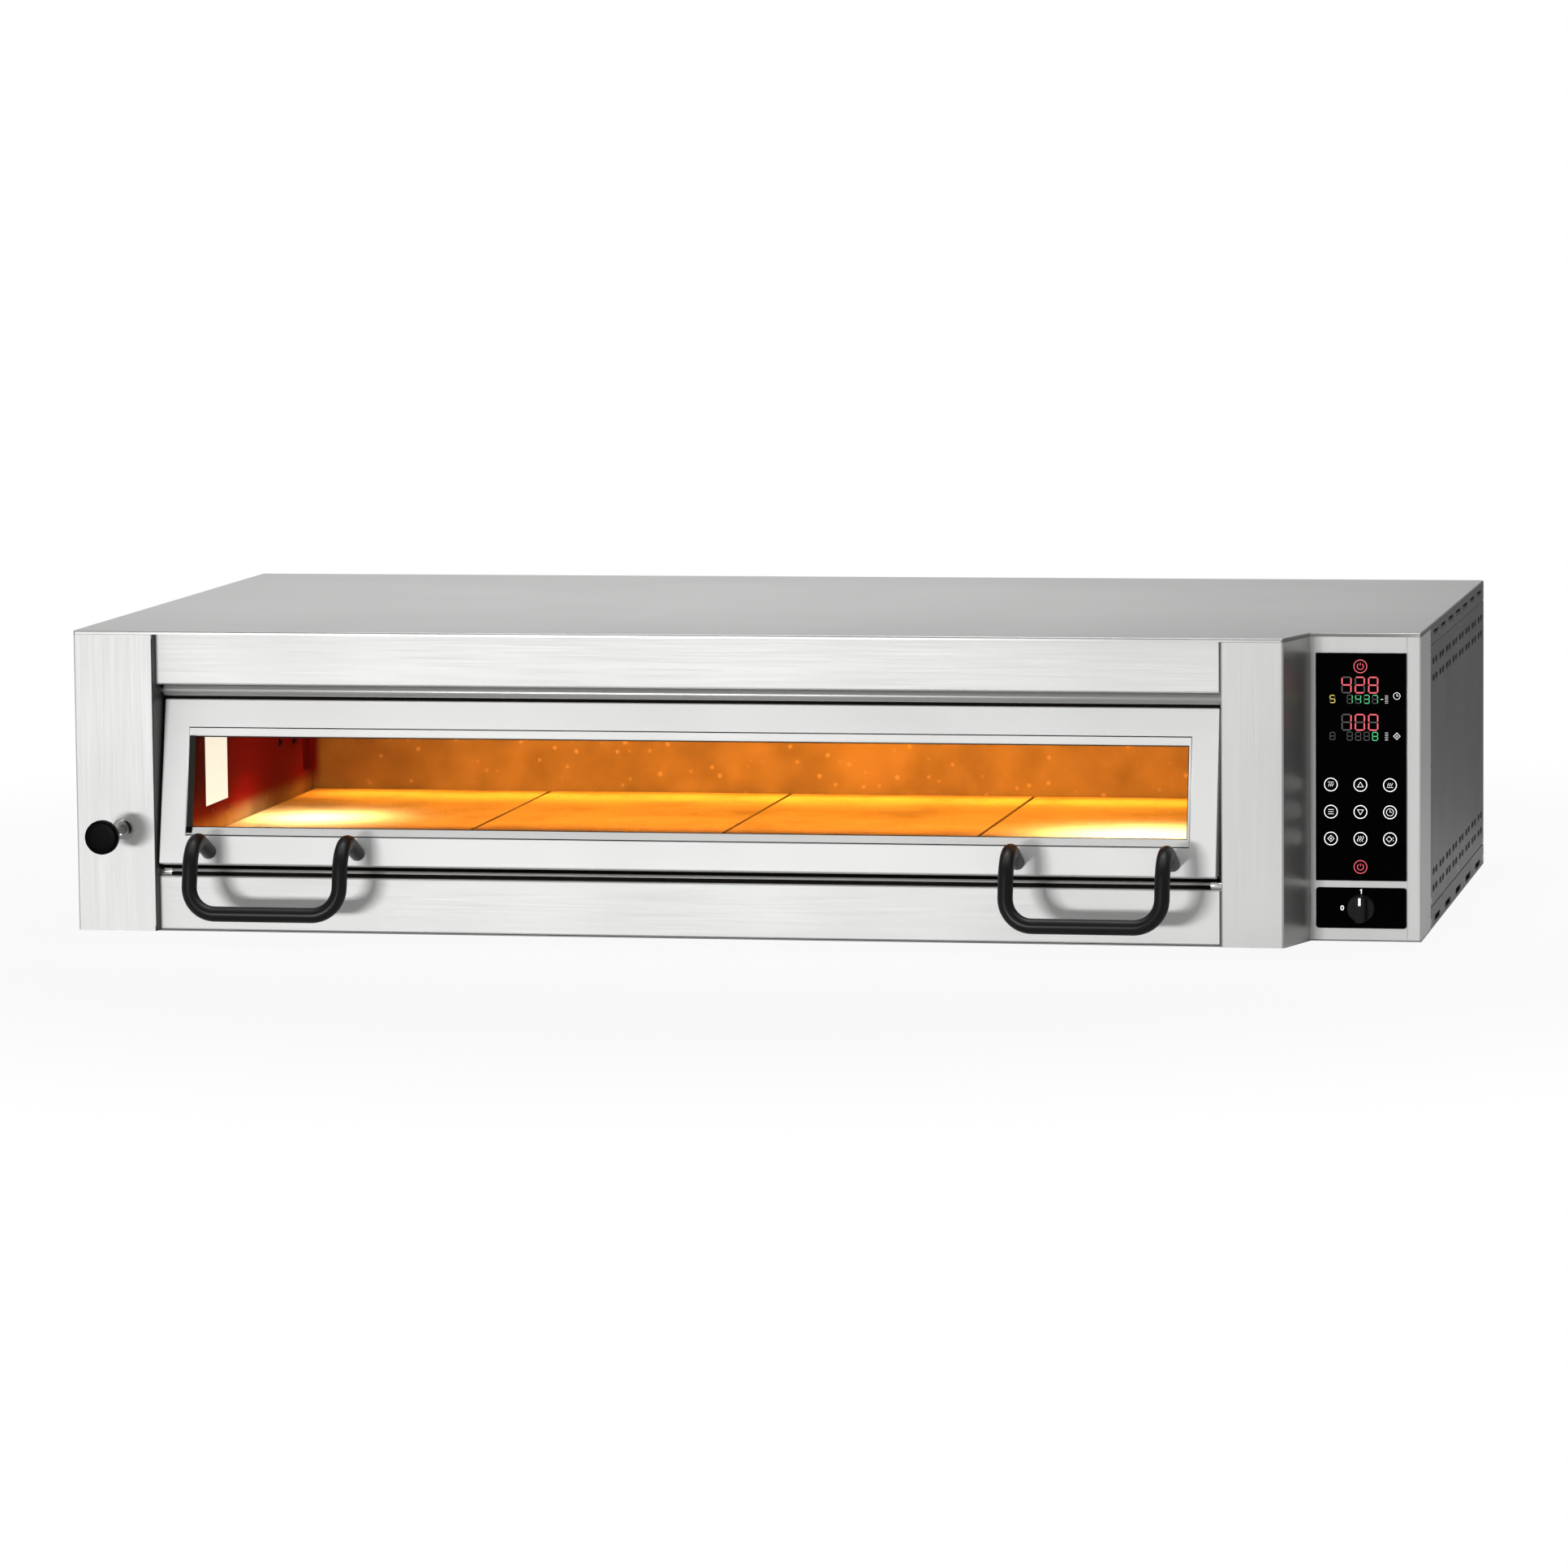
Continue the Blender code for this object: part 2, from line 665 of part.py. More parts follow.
def build_front_columns():
    """Folded columns either side of the door; the right one carries on as chamfer and control face."""
    top = HEIGHT - TOP_LIP - FIT
    left_path = [
        (LEFT, FRONT + COLUMN_SIDE),
        (LEFT, FRONT),
        (OPENING_LEFT, FRONT),
        (OPENING_LEFT, FRONT + COLUMN_RETURN),
    ]
    left = add("front_column_left", folded(left_path, "Z", FLOOR_SEAT, top), STAINLESS)
    pin_hole = HINGE_PIN_RADIUS + FIT
    cut(
        left,
        [
            hole("Y", (VENT_X, VENT_HEIGHT), VENT_BUSH_RADIUS + FIT, FRONT - CUT, FRONT + CUT),
            hole("X", (HINGE_Y, HINGE_Z), pin_hole, OPENING_LEFT - CUT, OPENING_LEFT + CUT),
        ],
    )
    corner = (CONTROL_LEFT, CONTROL_FACE)
    face_end = (POST_LEFT - FIT, CONTROL_FACE)
    right_path = [
        (OPENING_RIGHT, FRONT + COLUMN_RETURN),
        (OPENING_RIGHT, FRONT),
        (CHAMFER_LEFT, FRONT),
        *rounded(corner, (CHAMFER_LEFT, FRONT), face_end, CHAMFER_BEND),
        face_end,
    ]
    right = add("front_column_right", folded(right_path, "Z", FLOOR_SEAT, top), STAINLESS)
    edge = CONTROL_WINDOW_EDGE
    through = (CONTROL_FACE - CUT, CONTROL_FACE + CUT)
    cut(
        right,
        [
            hole("X", (HINGE_Y, HINGE_Z), pin_hole, OPENING_RIGHT - CUT, OPENING_RIGHT + CUT),
            hole("Y", (SWITCH_X, SWITCH_Z), SWITCH_HOLE, *through),
            box(CONTROL_X0 + edge, CONTROL_X1 - edge, *through, CONTROL_LOW + edge, CONTROL_HIGH - edge),
        ],
    )
    post_path = [
        (POST_LEFT, CONTROL_FACE),
        (RIGHT, CONTROL_FACE),
        (RIGHT, CONTROL_FACE + COLUMN_SIDE),
    ]
    add("control_corner_post", folded(post_path, "Z", FLOOR_SEAT, top), STAINLESS)


def build_fascias():
    """Folded fascias above and below the door, set back between the columns."""
    upper = [
        (FASCIA + FASCIA_FLANGE, ROOF_SEAT),
        (FASCIA, ROOF_SEAT),
        (FASCIA, UPPER_FASCIA),
        (FASCIA + FASCIA_RETURN, UPPER_FASCIA),
    ]
    lower = [
        (FASCIA + FASCIA_FLANGE, LOWER_FASCIA),
        (FASCIA, LOWER_FASCIA),
        (FASCIA, FLOOR_SEAT),
        (FASCIA + FASCIA_FLANGE, FLOOR_SEAT),
    ]
    ends = (OPENING_LEFT + FIT, OPENING_RIGHT - FIT)
    add("upper_fascia", folded(upper, "X", *ends), STAINLESS)
    add("lower_fascia", folded(lower, "X", *ends), STAINLESS)


def mouth_y(height, depth):
    """Where a plane parallel to the door, this far behind its axis, lies at a height."""
    return HINGE_Y + depth / math.cos(DOOR_LEAN) + (height - HINGE_Z) * math.tan(DOOR_LEAN)


def leaning_loop(depth, left, right, low, high):
    """A rectangle in a plane parallel to the door."""
    corners = ((left, low), (right, low), (right, high), (left, high))
    return [(x, mouth_y(z, depth), z) for x, z in corners]


def upright_loop(y, left, right, low, high):
    """A rectangle in a plane facing the front."""
    return [(left, y, low), (right, y, low), (right, y, high), (left, y, high)]


def build_chamber():
    """Baking chamber: a sheet tube whose mouth leans with the door, with a rim for the seal, and its back."""
    inside = (CHAMBER_LEFT, CHAMBER_RIGHT)
    outside = (WALL_LEFT, WALL_RIGHT)
    rim = (CHAMBER_LEFT - MOUTH_RIM, CHAMBER_RIGHT + MOUTH_RIM)
    rim_low = MOUTH_FLOOR - MOUTH_RIM
    rim_high = CHAMBER_ROOF + MOUTH_RIM
    under = CHAMBER_FLOOR - SHEET
    over = CHAMBER_ROOF + SHEET
    step = MOUTH + MOUTH_STEP
    loops = [
        upright_loop(CHAMBER_BACK, *inside, CHAMBER_FLOOR, CHAMBER_ROOF),
        leaning_loop(step, *inside, CHAMBER_FLOOR, CHAMBER_ROOF),
        leaning_loop(step - SHEET, *inside, MOUTH_FLOOR, CHAMBER_ROOF),
        leaning_loop(MOUTH, *inside, MOUTH_FLOOR, CHAMBER_ROOF),
        leaning_loop(MOUTH, *rim, rim_low, rim_high),
        leaning_loop(MOUTH + SHEET, *rim, rim_low, rim_high),
        leaning_loop(MOUTH + SHEET, *outside, MOUTH_FLOOR - SHEET, over),
        leaning_loop(step - 2 * SHEET, *outside, MOUTH_FLOOR - SHEET, over),
        leaning_loop(step - SHEET, *outside, under, over),
        upright_loop(CHAMBER_BACK, *outside, under, over),
    ]
    shell = add("chamber_shell", loft(loops, closed=True), ALUMINISED)
    openings = []
    for wall in (CHAMBER_LEFT, CHAMBER_RIGHT):
        openings.append(
            box(wall - CUT, wall + CUT, LAMP_Y, LAMP_Y + LAMP_LENGTH, LAMP_Z, LAMP_Z + LAMP_HEIGHT)
        )
    vent_end = VENT_OPENING_FRONT + VENT_OPENING
    vent_high = VENT_OPENING_LOW + VENT_OPENING_HEIGHT
    openings.append(
        box(WALL_LEFT - CUT, WALL_LEFT + CUT, VENT_OPENING_FRONT, vent_end, VENT_OPENING_LOW, vent_high)
    )
    for y in element_runs():
        openings.append(element_hole(y, UPPER_ELEMENT, WALL_RIGHT - CUT, WALL_RIGHT + CUT))
    cut(shell, openings, "openings")
    plate = box(*outside, CHAMBER_BACK + FIT, WALL_BACK, under, over)
    back = add("chamber_back", plate, ALUMINISED)
    cut(back, [hole("Y", probe_place(), PROBE_RADIUS + FIT, WALL_BACK - CUT, WALL_BACK + CUT)])


def stone_front():
    """Front edge of the stones, behind the chamber's raised lip."""
    return mouth_y(HEARTH_TOP, MOUTH + MOUTH_STEP) + FIT


def build_hearth():
    """Refractory stones side by side on the chamber floor."""
    left = CHAMBER_LEFT + STONE_GAP
    pitch = (CHAMBER_RIGHT - STONE_GAP - left) / STONE_COUNT
    for i in range(STONE_COUNT):
        x0 = left + pitch * i
        x1 = x0 + pitch - STONE_GAP
        shape = box(x0, x1, stone_front(), CHAMBER_BACK - STONE_GAP, CHAMBER_FLOOR + FIT, HEARTH_TOP)
        add(f"hearth_stone_{i + 1}", shape, REFRACTORY)


def element_centres():
    """Depths of the hairpin elements, evenly spread over the hearth."""
    front = stone_front()
    pitch = (CHAMBER_BACK - front) / ELEMENT_COUNT
    return [front + pitch * (i + 0.5) for i in range(ELEMENT_COUNT)]


def element_runs():
    """Depths of every straight run, two to a hairpin."""
    return [y + side * ELEMENT_LOOP for y in element_centres() for side in (-1, 1)]


def element_hole(y, height, low, high):
    """A cutter for one element end on its way out to the control side."""
    return hole("X", (y, height), ELEMENT_RADIUS + FIT, low, high, SMALL_SIDES)


def build_elements():
    """Hairpin heating elements under the roof and under the floor, their ends out on the control side."""
    turn_x = CHAMBER_LEFT + ELEMENT_SIDE + ELEMENT_LOOP
    for level, height in (("upper", UPPER_ELEMENT), ("lower", LOWER_ELEMENT)):
        for i, y in enumerate(element_centres()):
            out = Vector((0, -ELEMENT_LOOP, 0))
            back = Vector((-ELEMENT_LOOP, 0, 0))
            centre = (turn_x, y, height)
            path = [(ELEMENT_TIP, y - ELEMENT_LOOP, height)]
            path += arc(centre, out, back, math.pi / 2)
            path += arc(centre, back, -out, math.pi / 2)[1:]
            path.append((ELEMENT_TIP, y + ELEMENT_LOOP, height))
            add(f"{level}_element_{i + 1}", swept(path, ELEMENT_RADIUS, TUBE_SIDES), ELEMENT_SHEATH)


def build_insulation():
    """Mineral wool slabs round the chamber, pierced where elements, lamps and the probe pass."""
    front = mouth_y(CHAMBER_ROOF + MOUTH_RIM, MOUTH + 2 * SHEET)
    behind = WALL_BACK + FIT + BACK_INSULATION
    base_front = FASCIA + FASCIA_FLANGE + FIT
    roof = box(WALL_LEFT, WALL_RIGHT, front, behind, UPPER_INSULATION, UPPER_INSULATION + TOP_INSULATION)
    add("insulation_top", roof, WOOL)
    floor = box(WALL_LEFT, WALL_RIGHT, base_front, behind, FLOOR_SEAT, LOWER_INSULATION)
    add("insulation_bottom", floor, WOOL)
    back_low = LOWER_INSULATION + FIT
    back_high = UPPER_INSULATION - FIT
    slab = box(WALL_LEFT, WALL_RIGHT, WALL_BACK + FIT, behind, back_low, back_high)
    rear = add("insulation_back", slab, WOOL)
    cut(rear, [hole("Y", probe_place(), PROBE_RADIUS + FIT, WALL_BACK - CUT, behind + CUT)])
    near_left = WALL_LEFT - FIT
    far_left = near_left - SIDE_INSULATION
    left = add(
        "insulation_left",
        box(far_left, near_left, front, DUCT_FRONT - FIT, FLOOR_SEAT, ROOF_SEAT),
        WOOL,
    )
    cut(left, [lamp_room(far_left - CUT, near_left + CUT)])
    near_right = WALL_RIGHT + FIT
    far_right = near_right + SIDE_INSULATION
    right = add("insulation_right", box(near_right, far_right, front, behind, FLOOR_SEAT, ROOF_SEAT), WOOL)
    passages = [lamp_room(near_right - CUT, far_right + CUT)]
    for height in (UPPER_ELEMENT, LOWER_ELEMENT):
        for y in element_runs():
            passages.append(element_hole(y, height, near_right - CUT, far_right + CUT))
    cut(right, passages)


def lamp_room(x0, x1):
    """The space that a lamp housing takes in a side slab."""
    wall = SHEET + FIT
    return box(
        x0, x1, LAMP_Y - wall, LAMP_Y + LAMP_LENGTH + wall, LAMP_Z - wall, LAMP_Z + LAMP_HEIGHT + wall
    )


def build_lamps():
    """Recessed chamber lamps: an open housing behind each side wall and a glass set in the wall."""
    for side, wall, skin in (("left", CHAMBER_LEFT, WALL_LEFT), ("right", CHAMBER_RIGHT, WALL_RIGHT)):
        outward = -1 if side == "left" else 1
        inner = (LAMP_Y, LAMP_Y + LAMP_LENGTH, LAMP_Z, LAMP_Z + LAMP_HEIGHT)
        outer = (inner[0] - SHEET, inner[1] + SHEET, inner[2] - SHEET, inner[3] + SHEET)
        mouth = skin + outward * FIT
        back = mouth + outward * LAMP_DEPTH
        loops = [
            lamp_loop(back - outward * SHEET, *inner),
            lamp_loop(mouth, *inner),
            lamp_loop(mouth, *outer),
            lamp_loop(back, *outer),
        ]
        add(f"lamp_housing_{side}", loft(loops), ALUMINISED)
        pane = (inner[0] + FIT, inner[1] - FIT, inner[2] + FIT, inner[3] - FIT)
        seat = wall + outward * GLASS
        add(f"lamp_glass_{side}", loft([lamp_loop(wall, *pane), lamp_loop(seat, *pane)]), LAMP_GLASS)


def lamp_loop(x, y0, y1, z0, z1):
    """A rectangle in a plane facing sideways."""
    return [(x, y0, z0), (x, y1, z0), (x, y1, z1), (x, y0, z1)]


def probe_place():
    """Where the temperature probe comes through the back wall."""
    return (CHAMBER_LEFT + PROBE_SIDE, HEARTH_TOP + PROBE_RISE)


def build_probe():
    """Temperature probe through the back wall, its head on the rear slab."""
    seat = WALL_BACK + FIT + BACK_INSULATION + FIT
    profile = [
        (PROBE_RADIUS, CHAMBER_BACK - PROBE_REACH),
        (PROBE_RADIUS, seat),
        (PROBE_HEAD, seat),
        (PROBE_HEAD, seat + PROBE_HEAD),
    ]
    add("chamber_probe", turned(profile, "Y", probe_place(), SMALL_SIDES), BRIGHT)


def build_door():
    """Door: folded frame, bezel, pane, liner with its hinge strip, and the hinge tube along its head."""
    axis = pivot("door_axis", (0, HINGE_Y, HINGE_Z), DOOR_LEAN)
    top = -HINGE_DROP
    foot = -DOOR_DROP
    face = HINGE_FORE
    back = HINGE_FORE + DOOR_DEPTH
    window = (DOOR_LEFT + STILE, DOOR_RIGHT - STILE, foot + RAIL, top - RAIL)

    outer_loops = []
    for depth, grow in ((face, 0), (back, 0), (back, SHEET), (face + SHEET, SHEET)):
        outer_loops.append(
            upright_loop(depth, DOOR_LEFT + grow, DOOR_RIGHT - grow, foot + grow, top - grow)
        )
    for depth, grow in ((face + SHEET, SHEET), (back, SHEET), (back, 0), (face, 0)):
        outer_loops.append(
            upright_loop(depth, window[0] - grow, window[1] + grow, window[2] - grow, window[3] + grow)
        )
    add("door_frame", loft(outer_loops, closed=True), STAINLESS, axis)

    seat = tuple(edge + sign * FIT for edge, sign in zip(window, (1, -1, 1, -1)))
    left, right, low, high = seat
    inner = (left + BEZEL_STILE, right - BEZEL_STILE, low + BEZEL_RAIL, high - BEZEL_RAIL)
    bezel = [
        upright_loop(face, *seat),
        upright_loop(face + BEZEL_DEPTH / 2, *inner),
        upright_loop(face + BEZEL_DEPTH, *inner),
        upright_loop(face + BEZEL_DEPTH, *seat),
    ]
    add("door_bezel", loft(bezel, closed=True), BRIGHT, axis)
    pane_front = face + BEZEL_DEPTH + FIT
    pane_back = pane_front + GLASS
    add("door_glass", loft([upright_loop(y, *seat) for y in (pane_front, pane_back)]), OVEN_GLASS, axis)

    lip = pane_back + FIT
    liner_loops = []
    for depth in (LINER, LINER_BACK):
        liner_loops.append(upright_loop(depth, DOOR_LEFT, DOOR_RIGHT, foot, top))
    for depth, shrink in ((LINER_BACK, GLASS_LAP), (lip, GLASS_LAP), (lip, FIT), (LINER, FIT)):
        liner_loops.append(
            upright_loop(
                depth, window[0] + shrink, window[1] - shrink, window[2] + shrink, window[3] - shrink
            )
        )
    liner = add("door_liner", loft(liner_loops, closed=True), ALUMINISED, axis)
    strip_front = HINGE_TUBE_RADIUS + FIT
    strip = [
        (strip_front, 0),
        (strip_front, top + FIT),
        (LINER + SHEET / 4, top + FIT),
        (LINER + SHEET / 4, top - SHEET),
        (LINER_BACK - SHEET / 4, top - SHEET),
        (LINER_BACK - SHEET / 4, top + FIT + SHEET),
        (strip_front + SHEET, top + FIT + SHEET),
        (strip_front + SHEET, 0),
    ]
    join(liner, prism(strip, "X", DOOR_LEFT + SHEET, DOOR_RIGHT - SHEET), "hinge_strip")

    bore = HINGE_PIN_RADIUS + RUNNING_FIT
    tube = [
        (HINGE_TUBE_RADIUS, OPENING_LEFT + HINGE_END_GAP),
        (HINGE_TUBE_RADIUS, OPENING_RIGHT - HINGE_END_GAP),
        (bore, OPENING_RIGHT - HINGE_END_GAP),
        (bore, OPENING_LEFT + HINGE_END_GAP),
    ]
    add("hinge_tube", turned(tube, "X", (0, 0), SIDES, closed=True), BRIGHT, axis)

    for name, first in (
        ("door_handle_left", DOOR_LEFT + HANDLE_LEFT_INSET),
        ("door_handle_right", DOOR_RIGHT - HANDLE_RIGHT_INSET - HANDLE_SPAN),
    ):
        build_handle(name, first, axis)


def build_handle(name, first, axis):
    """U-shaped tube: two goose necks out of the lower rail, legs and a bar hanging in front of the door."""
    mount = -DOOR_DROP + HANDLE_RISE
    leg = HINGE_FORE - HANDLE_STANDOFF
    sunk = HANDLE_RADIUS
    droop = Vector((0, math.cos(HANDLE_DROOP), -math.sin(HANDLE_DROOP)))
    neck_y = leg + HANDLE_NECK
    neck_end = neck_y + HANDLE_NECK * math.sin(HANDLE_DROOP)
    rise = (HINGE_FORE - neck_end) * math.tan(HANDLE_DROOP)
    neck_z = mount + rise - HANDLE_NECK * math.cos(HANDLE_DROOP)
    bar = neck_z + HANDLE_NECK - HANDLE_LEG
    up = Vector((0, 0, HANDLE_NECK))
    out = Vector((0, -HANDLE_NECK, 0))
    corner_out = Vector((-HANDLE_CORNER, 0, 0))
    corner_down = Vector((0, 0, -HANDLE_CORNER))
    half = []
    root = Vector((first, HINGE_FORE, mount)) + droop * sunk
    half.append(root)
    neck = arc((first, neck_y, neck_z), out, up, math.pi / 2 + HANDLE_DROOP)
    half += neck[::-1]
    half += arc((first + HANDLE_CORNER, leg, bar + HANDLE_CORNER), corner_out, corner_down, math.pi / 2)
    middle = first + HANDLE_SPAN / 2
    mirrored = [Vector((2 * middle - p.x, p.y, p.z)) for p in reversed(half)]
    handle = add(name, swept(half + mirrored, HANDLE_RADIUS, SMALL_SIDES), BLACK_COAT, axis)
    work = bmesh.new()
    work.from_mesh(handle.data)
    everything = work.verts[:] + work.edges[:] + work.faces[:]
    face = (0, HINGE_FORE - FIT, 0)
    trimmed = bmesh.ops.bisect_plane(
        work, geom=everything, plane_co=face, plane_no=(0, 1, 0), clear_outer=True
    )
    rims = [edge for edge in trimmed["geom_cut"] if isinstance(edge, bmesh.types.BMEdge)]
    bmesh.ops.holes_fill(work, edges=rims)
    bmesh.ops.recalc_face_normals(work, faces=work.faces)
    work.to_mesh(handle.data)
    work.free()


def build_seal():
    """Rope seal on the chamber's rim, just behind the door's liner."""
    edge = MOUTH_RIM - SEAL_WIDTH
    hollow = (CHAMBER_LEFT, CHAMBER_RIGHT, MOUTH_FLOOR, CHAMBER_ROOF)
    loops = []
    for depth, grow in (
        (SEAL_FRONT, SEAL_WIDTH + edge),
        (SEAL_FRONT + SEAL, SEAL_WIDTH + edge),
        (SEAL_FRONT + SEAL, edge),
        (SEAL_FRONT, edge),
    ):
        loops.append(
            leaning_loop(depth, hollow[0] - grow, hollow[1] + grow, hollow[2] - grow, hollow[3] + grow)
        )
    add("door_seal", loft(loops, closed=True), SEAL_ROPE)


def build_hinge_pins():
    """Headed pins through the columns' returns into the ends of the hinge tube."""
    for side, wall, inward in (("left", OPENING_LEFT, 1), ("right", OPENING_RIGHT, -1)):
        head = wall - inward * (SHEET + FIT)
        profile = [
            (HINGE_HEAD_RADIUS, head - inward * HINGE_HEAD),
            (HINGE_HEAD_RADIUS, head),
            (HINGE_PIN_RADIUS, head),
            (HINGE_PIN_RADIUS, wall + inward * HINGE_PIN_REACH),
        ]
        add(f"hinge_pin_{side}", turned(profile, "X", (HINGE_Y, HINGE_Z)), BRIGHT)


def build_sill():
    """Round bar across the gap under the door, held in a bush at each column."""
    centre = (FASCIA + SILL_INSET, LOWER_FASCIA + FIT + SILL_BUSH_RADIUS)
    left = OPENING_LEFT + FIT
    right = OPENING_RIGHT - FIT
    profile = [(SILL_BAR_RADIUS, left), (SILL_BAR_RADIUS, right)]
    add("sill_bar", turned(profile, "X", centre, SMALL_SIDES), BRIGHT)
    bore = SILL_BAR_RADIUS + FIT
    for side, wall, inward in (("left", left, 1), ("right", right, -1)):
        ring = [
            (SILL_BUSH_RADIUS, wall),
            (SILL_BUSH_RADIUS, wall + inward * SILL_BUSH),
            (bore, wall + inward * SILL_BUSH),
            (bore, wall),
        ]
        add(f"sill_bush_{side}", turned(ring, "X", centre, SIDES, closed=True), BRIGHT)


def build_vent():
    """Steam vent: a pull knob and rod that slide a gate over the opening in the chamber's left wall."""
    centre = (VENT_X, VENT_HEIGHT)
    knob_back = FRONT - VENT_STANDOFF
    knob_front = knob_back - VENT_KNOB
    socket = VENT_ROD_RADIUS + RUNNING_FIT
    axis = pivot("vent_axis", (VENT_X, FRONT, VENT_HEIGHT))
    rim = VENT_KNOB_RIM
    knob = [
        (VENT_KNOB_RADIUS - 2 * rim, knob_front),
        (VENT_KNOB_RADIUS - rim / 2, knob_front + rim / 2),
        (VENT_KNOB_RADIUS, knob_front + 2 * rim),
        (VENT_KNOB_RADIUS - rim / 2, knob_front + 3 * rim),
        (VENT_BUSH_FLANGE, knob_back - rim),
        (VENT_BUSH_FLANGE, knob_back),
        (socket, knob_back),
        (socket, knob_back - VENT_SOCKET),
    ]
    rod = [
        (VENT_ROD_RADIUS, knob_back - VENT_SOCKET + FIT),
        (VENT_ROD_RADIUS, GATE_FRONT - FIT),
    ]
    gate_x = WALL_LEFT - FIT
    gate_low = VENT_OPENING_LOW - GATE_LAP
    gate_high = VENT_OPENING_LOW + VENT_OPENING_HEIGHT + GATE_LAP
    tab_low = VENT_HEIGHT - 2 * VENT_ROD_RADIUS
    tab_left = VENT_X - 2 * VENT_ROD_RADIUS
    add("vent_knob", about(turned(knob, "Y", centre), axis), BLACK_PLASTIC, axis)
    add("vent_rod", about(turned(rod, "Y", centre, SMALL_SIDES), axis), BRIGHT, axis)
    gate_end = GATE_FRONT + GATE_LENGTH
    plate = box(gate_x - SHEET, gate_x, GATE_FRONT, gate_end, gate_low, gate_high)
    gate = add("vent_gate", about(plate, axis), ALUMINISED, axis)
    tab_right = gate_x - SHEET / 2
    tab_high = gate_high - SHEET
    tab = box(tab_left, tab_right, GATE_FRONT, GATE_FRONT + SHEET, min(tab_low, gate_low), tab_high)
    join(gate, about(tab, axis), "tab")
    bush_face = FRONT - FIT
    bore = VENT_ROD_RADIUS + FIT
    bush = [
        (VENT_BUSH_FLANGE, bush_face - VENT_BUSH / 2),
        (VENT_BUSH_FLANGE, bush_face),
        (VENT_BUSH_RADIUS, bush_face),
        (VENT_BUSH_RADIUS, FRONT + SHEET + VENT_BUSH),
        (bore, FRONT + SHEET + VENT_BUSH),
        (bore, bush_face - VENT_BUSH / 2),
    ]
    add("vent_bush", turned(bush, "Y", centre, SIDES, closed=True), BRIGHT)
    build_vent_duct()


def build_vent_duct():
    """Sheet duct on the chamber's left wall, with a round flue out through the back."""
    mouth = WALL_LEFT - FIT
    outer = (DUCT_FRONT, DUCT_END, DUCT_LOW, DUCT_HIGH)
    inner = (DUCT_FRONT + SHEET, DUCT_END - SHEET, DUCT_LOW + SHEET, DUCT_HIGH - SHEET)
    loops = [
        lamp_loop(DUCT_LEFT + SHEET, *inner),
        lamp_loop(mouth, *inner),
        lamp_loop(mouth, *outer),
        lamp_loop(DUCT_LEFT, *outer),
    ]
    duct = add("vent_duct", loft(loops), ALUMINISED)
    flue = (FLUE_X, FLUE_Z)
    start = DUCT_END - SHEET / 2
    end = BACK + FLUE_OUT
    join(duct, turned([(FLUE_RADIUS, start), (FLUE_RADIUS, end)], "Y", flue), "flue")
    cut(
        duct,
        [
            hole("Y", flue, FLUE_RADIUS - SHEET, DUCT_END - CUT, end + CUT),
            hole("Y", (VENT_X, VENT_HEIGHT), VENT_ROD_RADIUS + FIT, DUCT_FRONT - CUT, DUCT_FRONT + SHEET * 2),
        ],
        "bores",
    )


def build_controls():
    """Control glass over its board, and the main switch on its own plate below."""
    back = CONTROL_FACE - FIT
    front = back - CONTROL_GLASS
    pane = (CONTROL_X0, CONTROL_X1, CONTROL_LOW, CONTROL_HIGH)
    add("control_glass", loft([upright_loop(y, *pane) for y in (front, back)]), PANEL_GLASS)

    edge = CONTROL_WINDOW_EDGE + FIT
    behind = CONTROL_FACE + SHEET + FIT
    display = (pane[0] + edge, pane[1] - edge, pane[2] + edge, pane[3] - edge)
    lap = BOARD_LAP
    board = (display[0] - lap, display[1] + lap, display[2] - lap, display[3] + lap)
    loops = [
        upright_loop(back + FIT, *display),
        upright_loop(behind, *display),
        upright_loop(behind, *board),
        upright_loop(behind + BOARD_DEPTH, *board),
    ]
    add("display_board", loft(loops), BOARD)

    shape = box(CONTROL_X0, CONTROL_X1, SWITCH_PLATE_FACE, back, SWITCH_PLATE_LOW, SWITCH_PLATE_HIGH)
    plate = add("switch_plate", shape, BLACK_PLASTIC)
    centre = (SWITCH_X, SWITCH_Z)
    cut(plate, [hole("Y", centre, SWITCH_HOLE, SWITCH_PLATE_FACE - CUT, back + CUT)])

    knob_back = SWITCH_PLATE_FACE - FIT
    knob_front = knob_back - SWITCH_KNOB
    rim = SWITCH_KNOB_RIM
    profile = [
        (SWITCH_KNOB_RADIUS - 2 * rim, knob_front),
        (SWITCH_KNOB_RADIUS - rim, knob_front + rim),
        (SWITCH_KNOB_RADIUS, knob_back - rim),
        (SWITCH_KNOB_RADIUS, knob_back),
        (SWITCH_SHAFT_RADIUS, knob_back),
        (SWITCH_SHAFT_RADIUS, knob_back + SWITCH_SHAFT),
    ]
    axis = pivot("switch_axis", (SWITCH_X, CONTROL_FACE, SWITCH_Z))
    add("switch_knob", about(turned(profile, "Y", centre), axis), BLACK_PLASTIC, axis)

    half = SWITCH_BODY / 2
    face = CONTROL_FACE + SHEET + FIT
    x0 = SWITCH_X - half
    z0 = SWITCH_Z - half
    block = box(x0, x0 + SWITCH_BODY, face, face + SWITCH_BODY_DEPTH, z0, z0 + SWITCH_BODY)
    switch = add("switch_body", block, PALE_PLASTIC)
    depth = knob_back + SWITCH_SHAFT + FIT
    cut(switch, [hole("Y", centre, SWITCH_SHAFT_RADIUS + FIT, face - CUT, depth)])


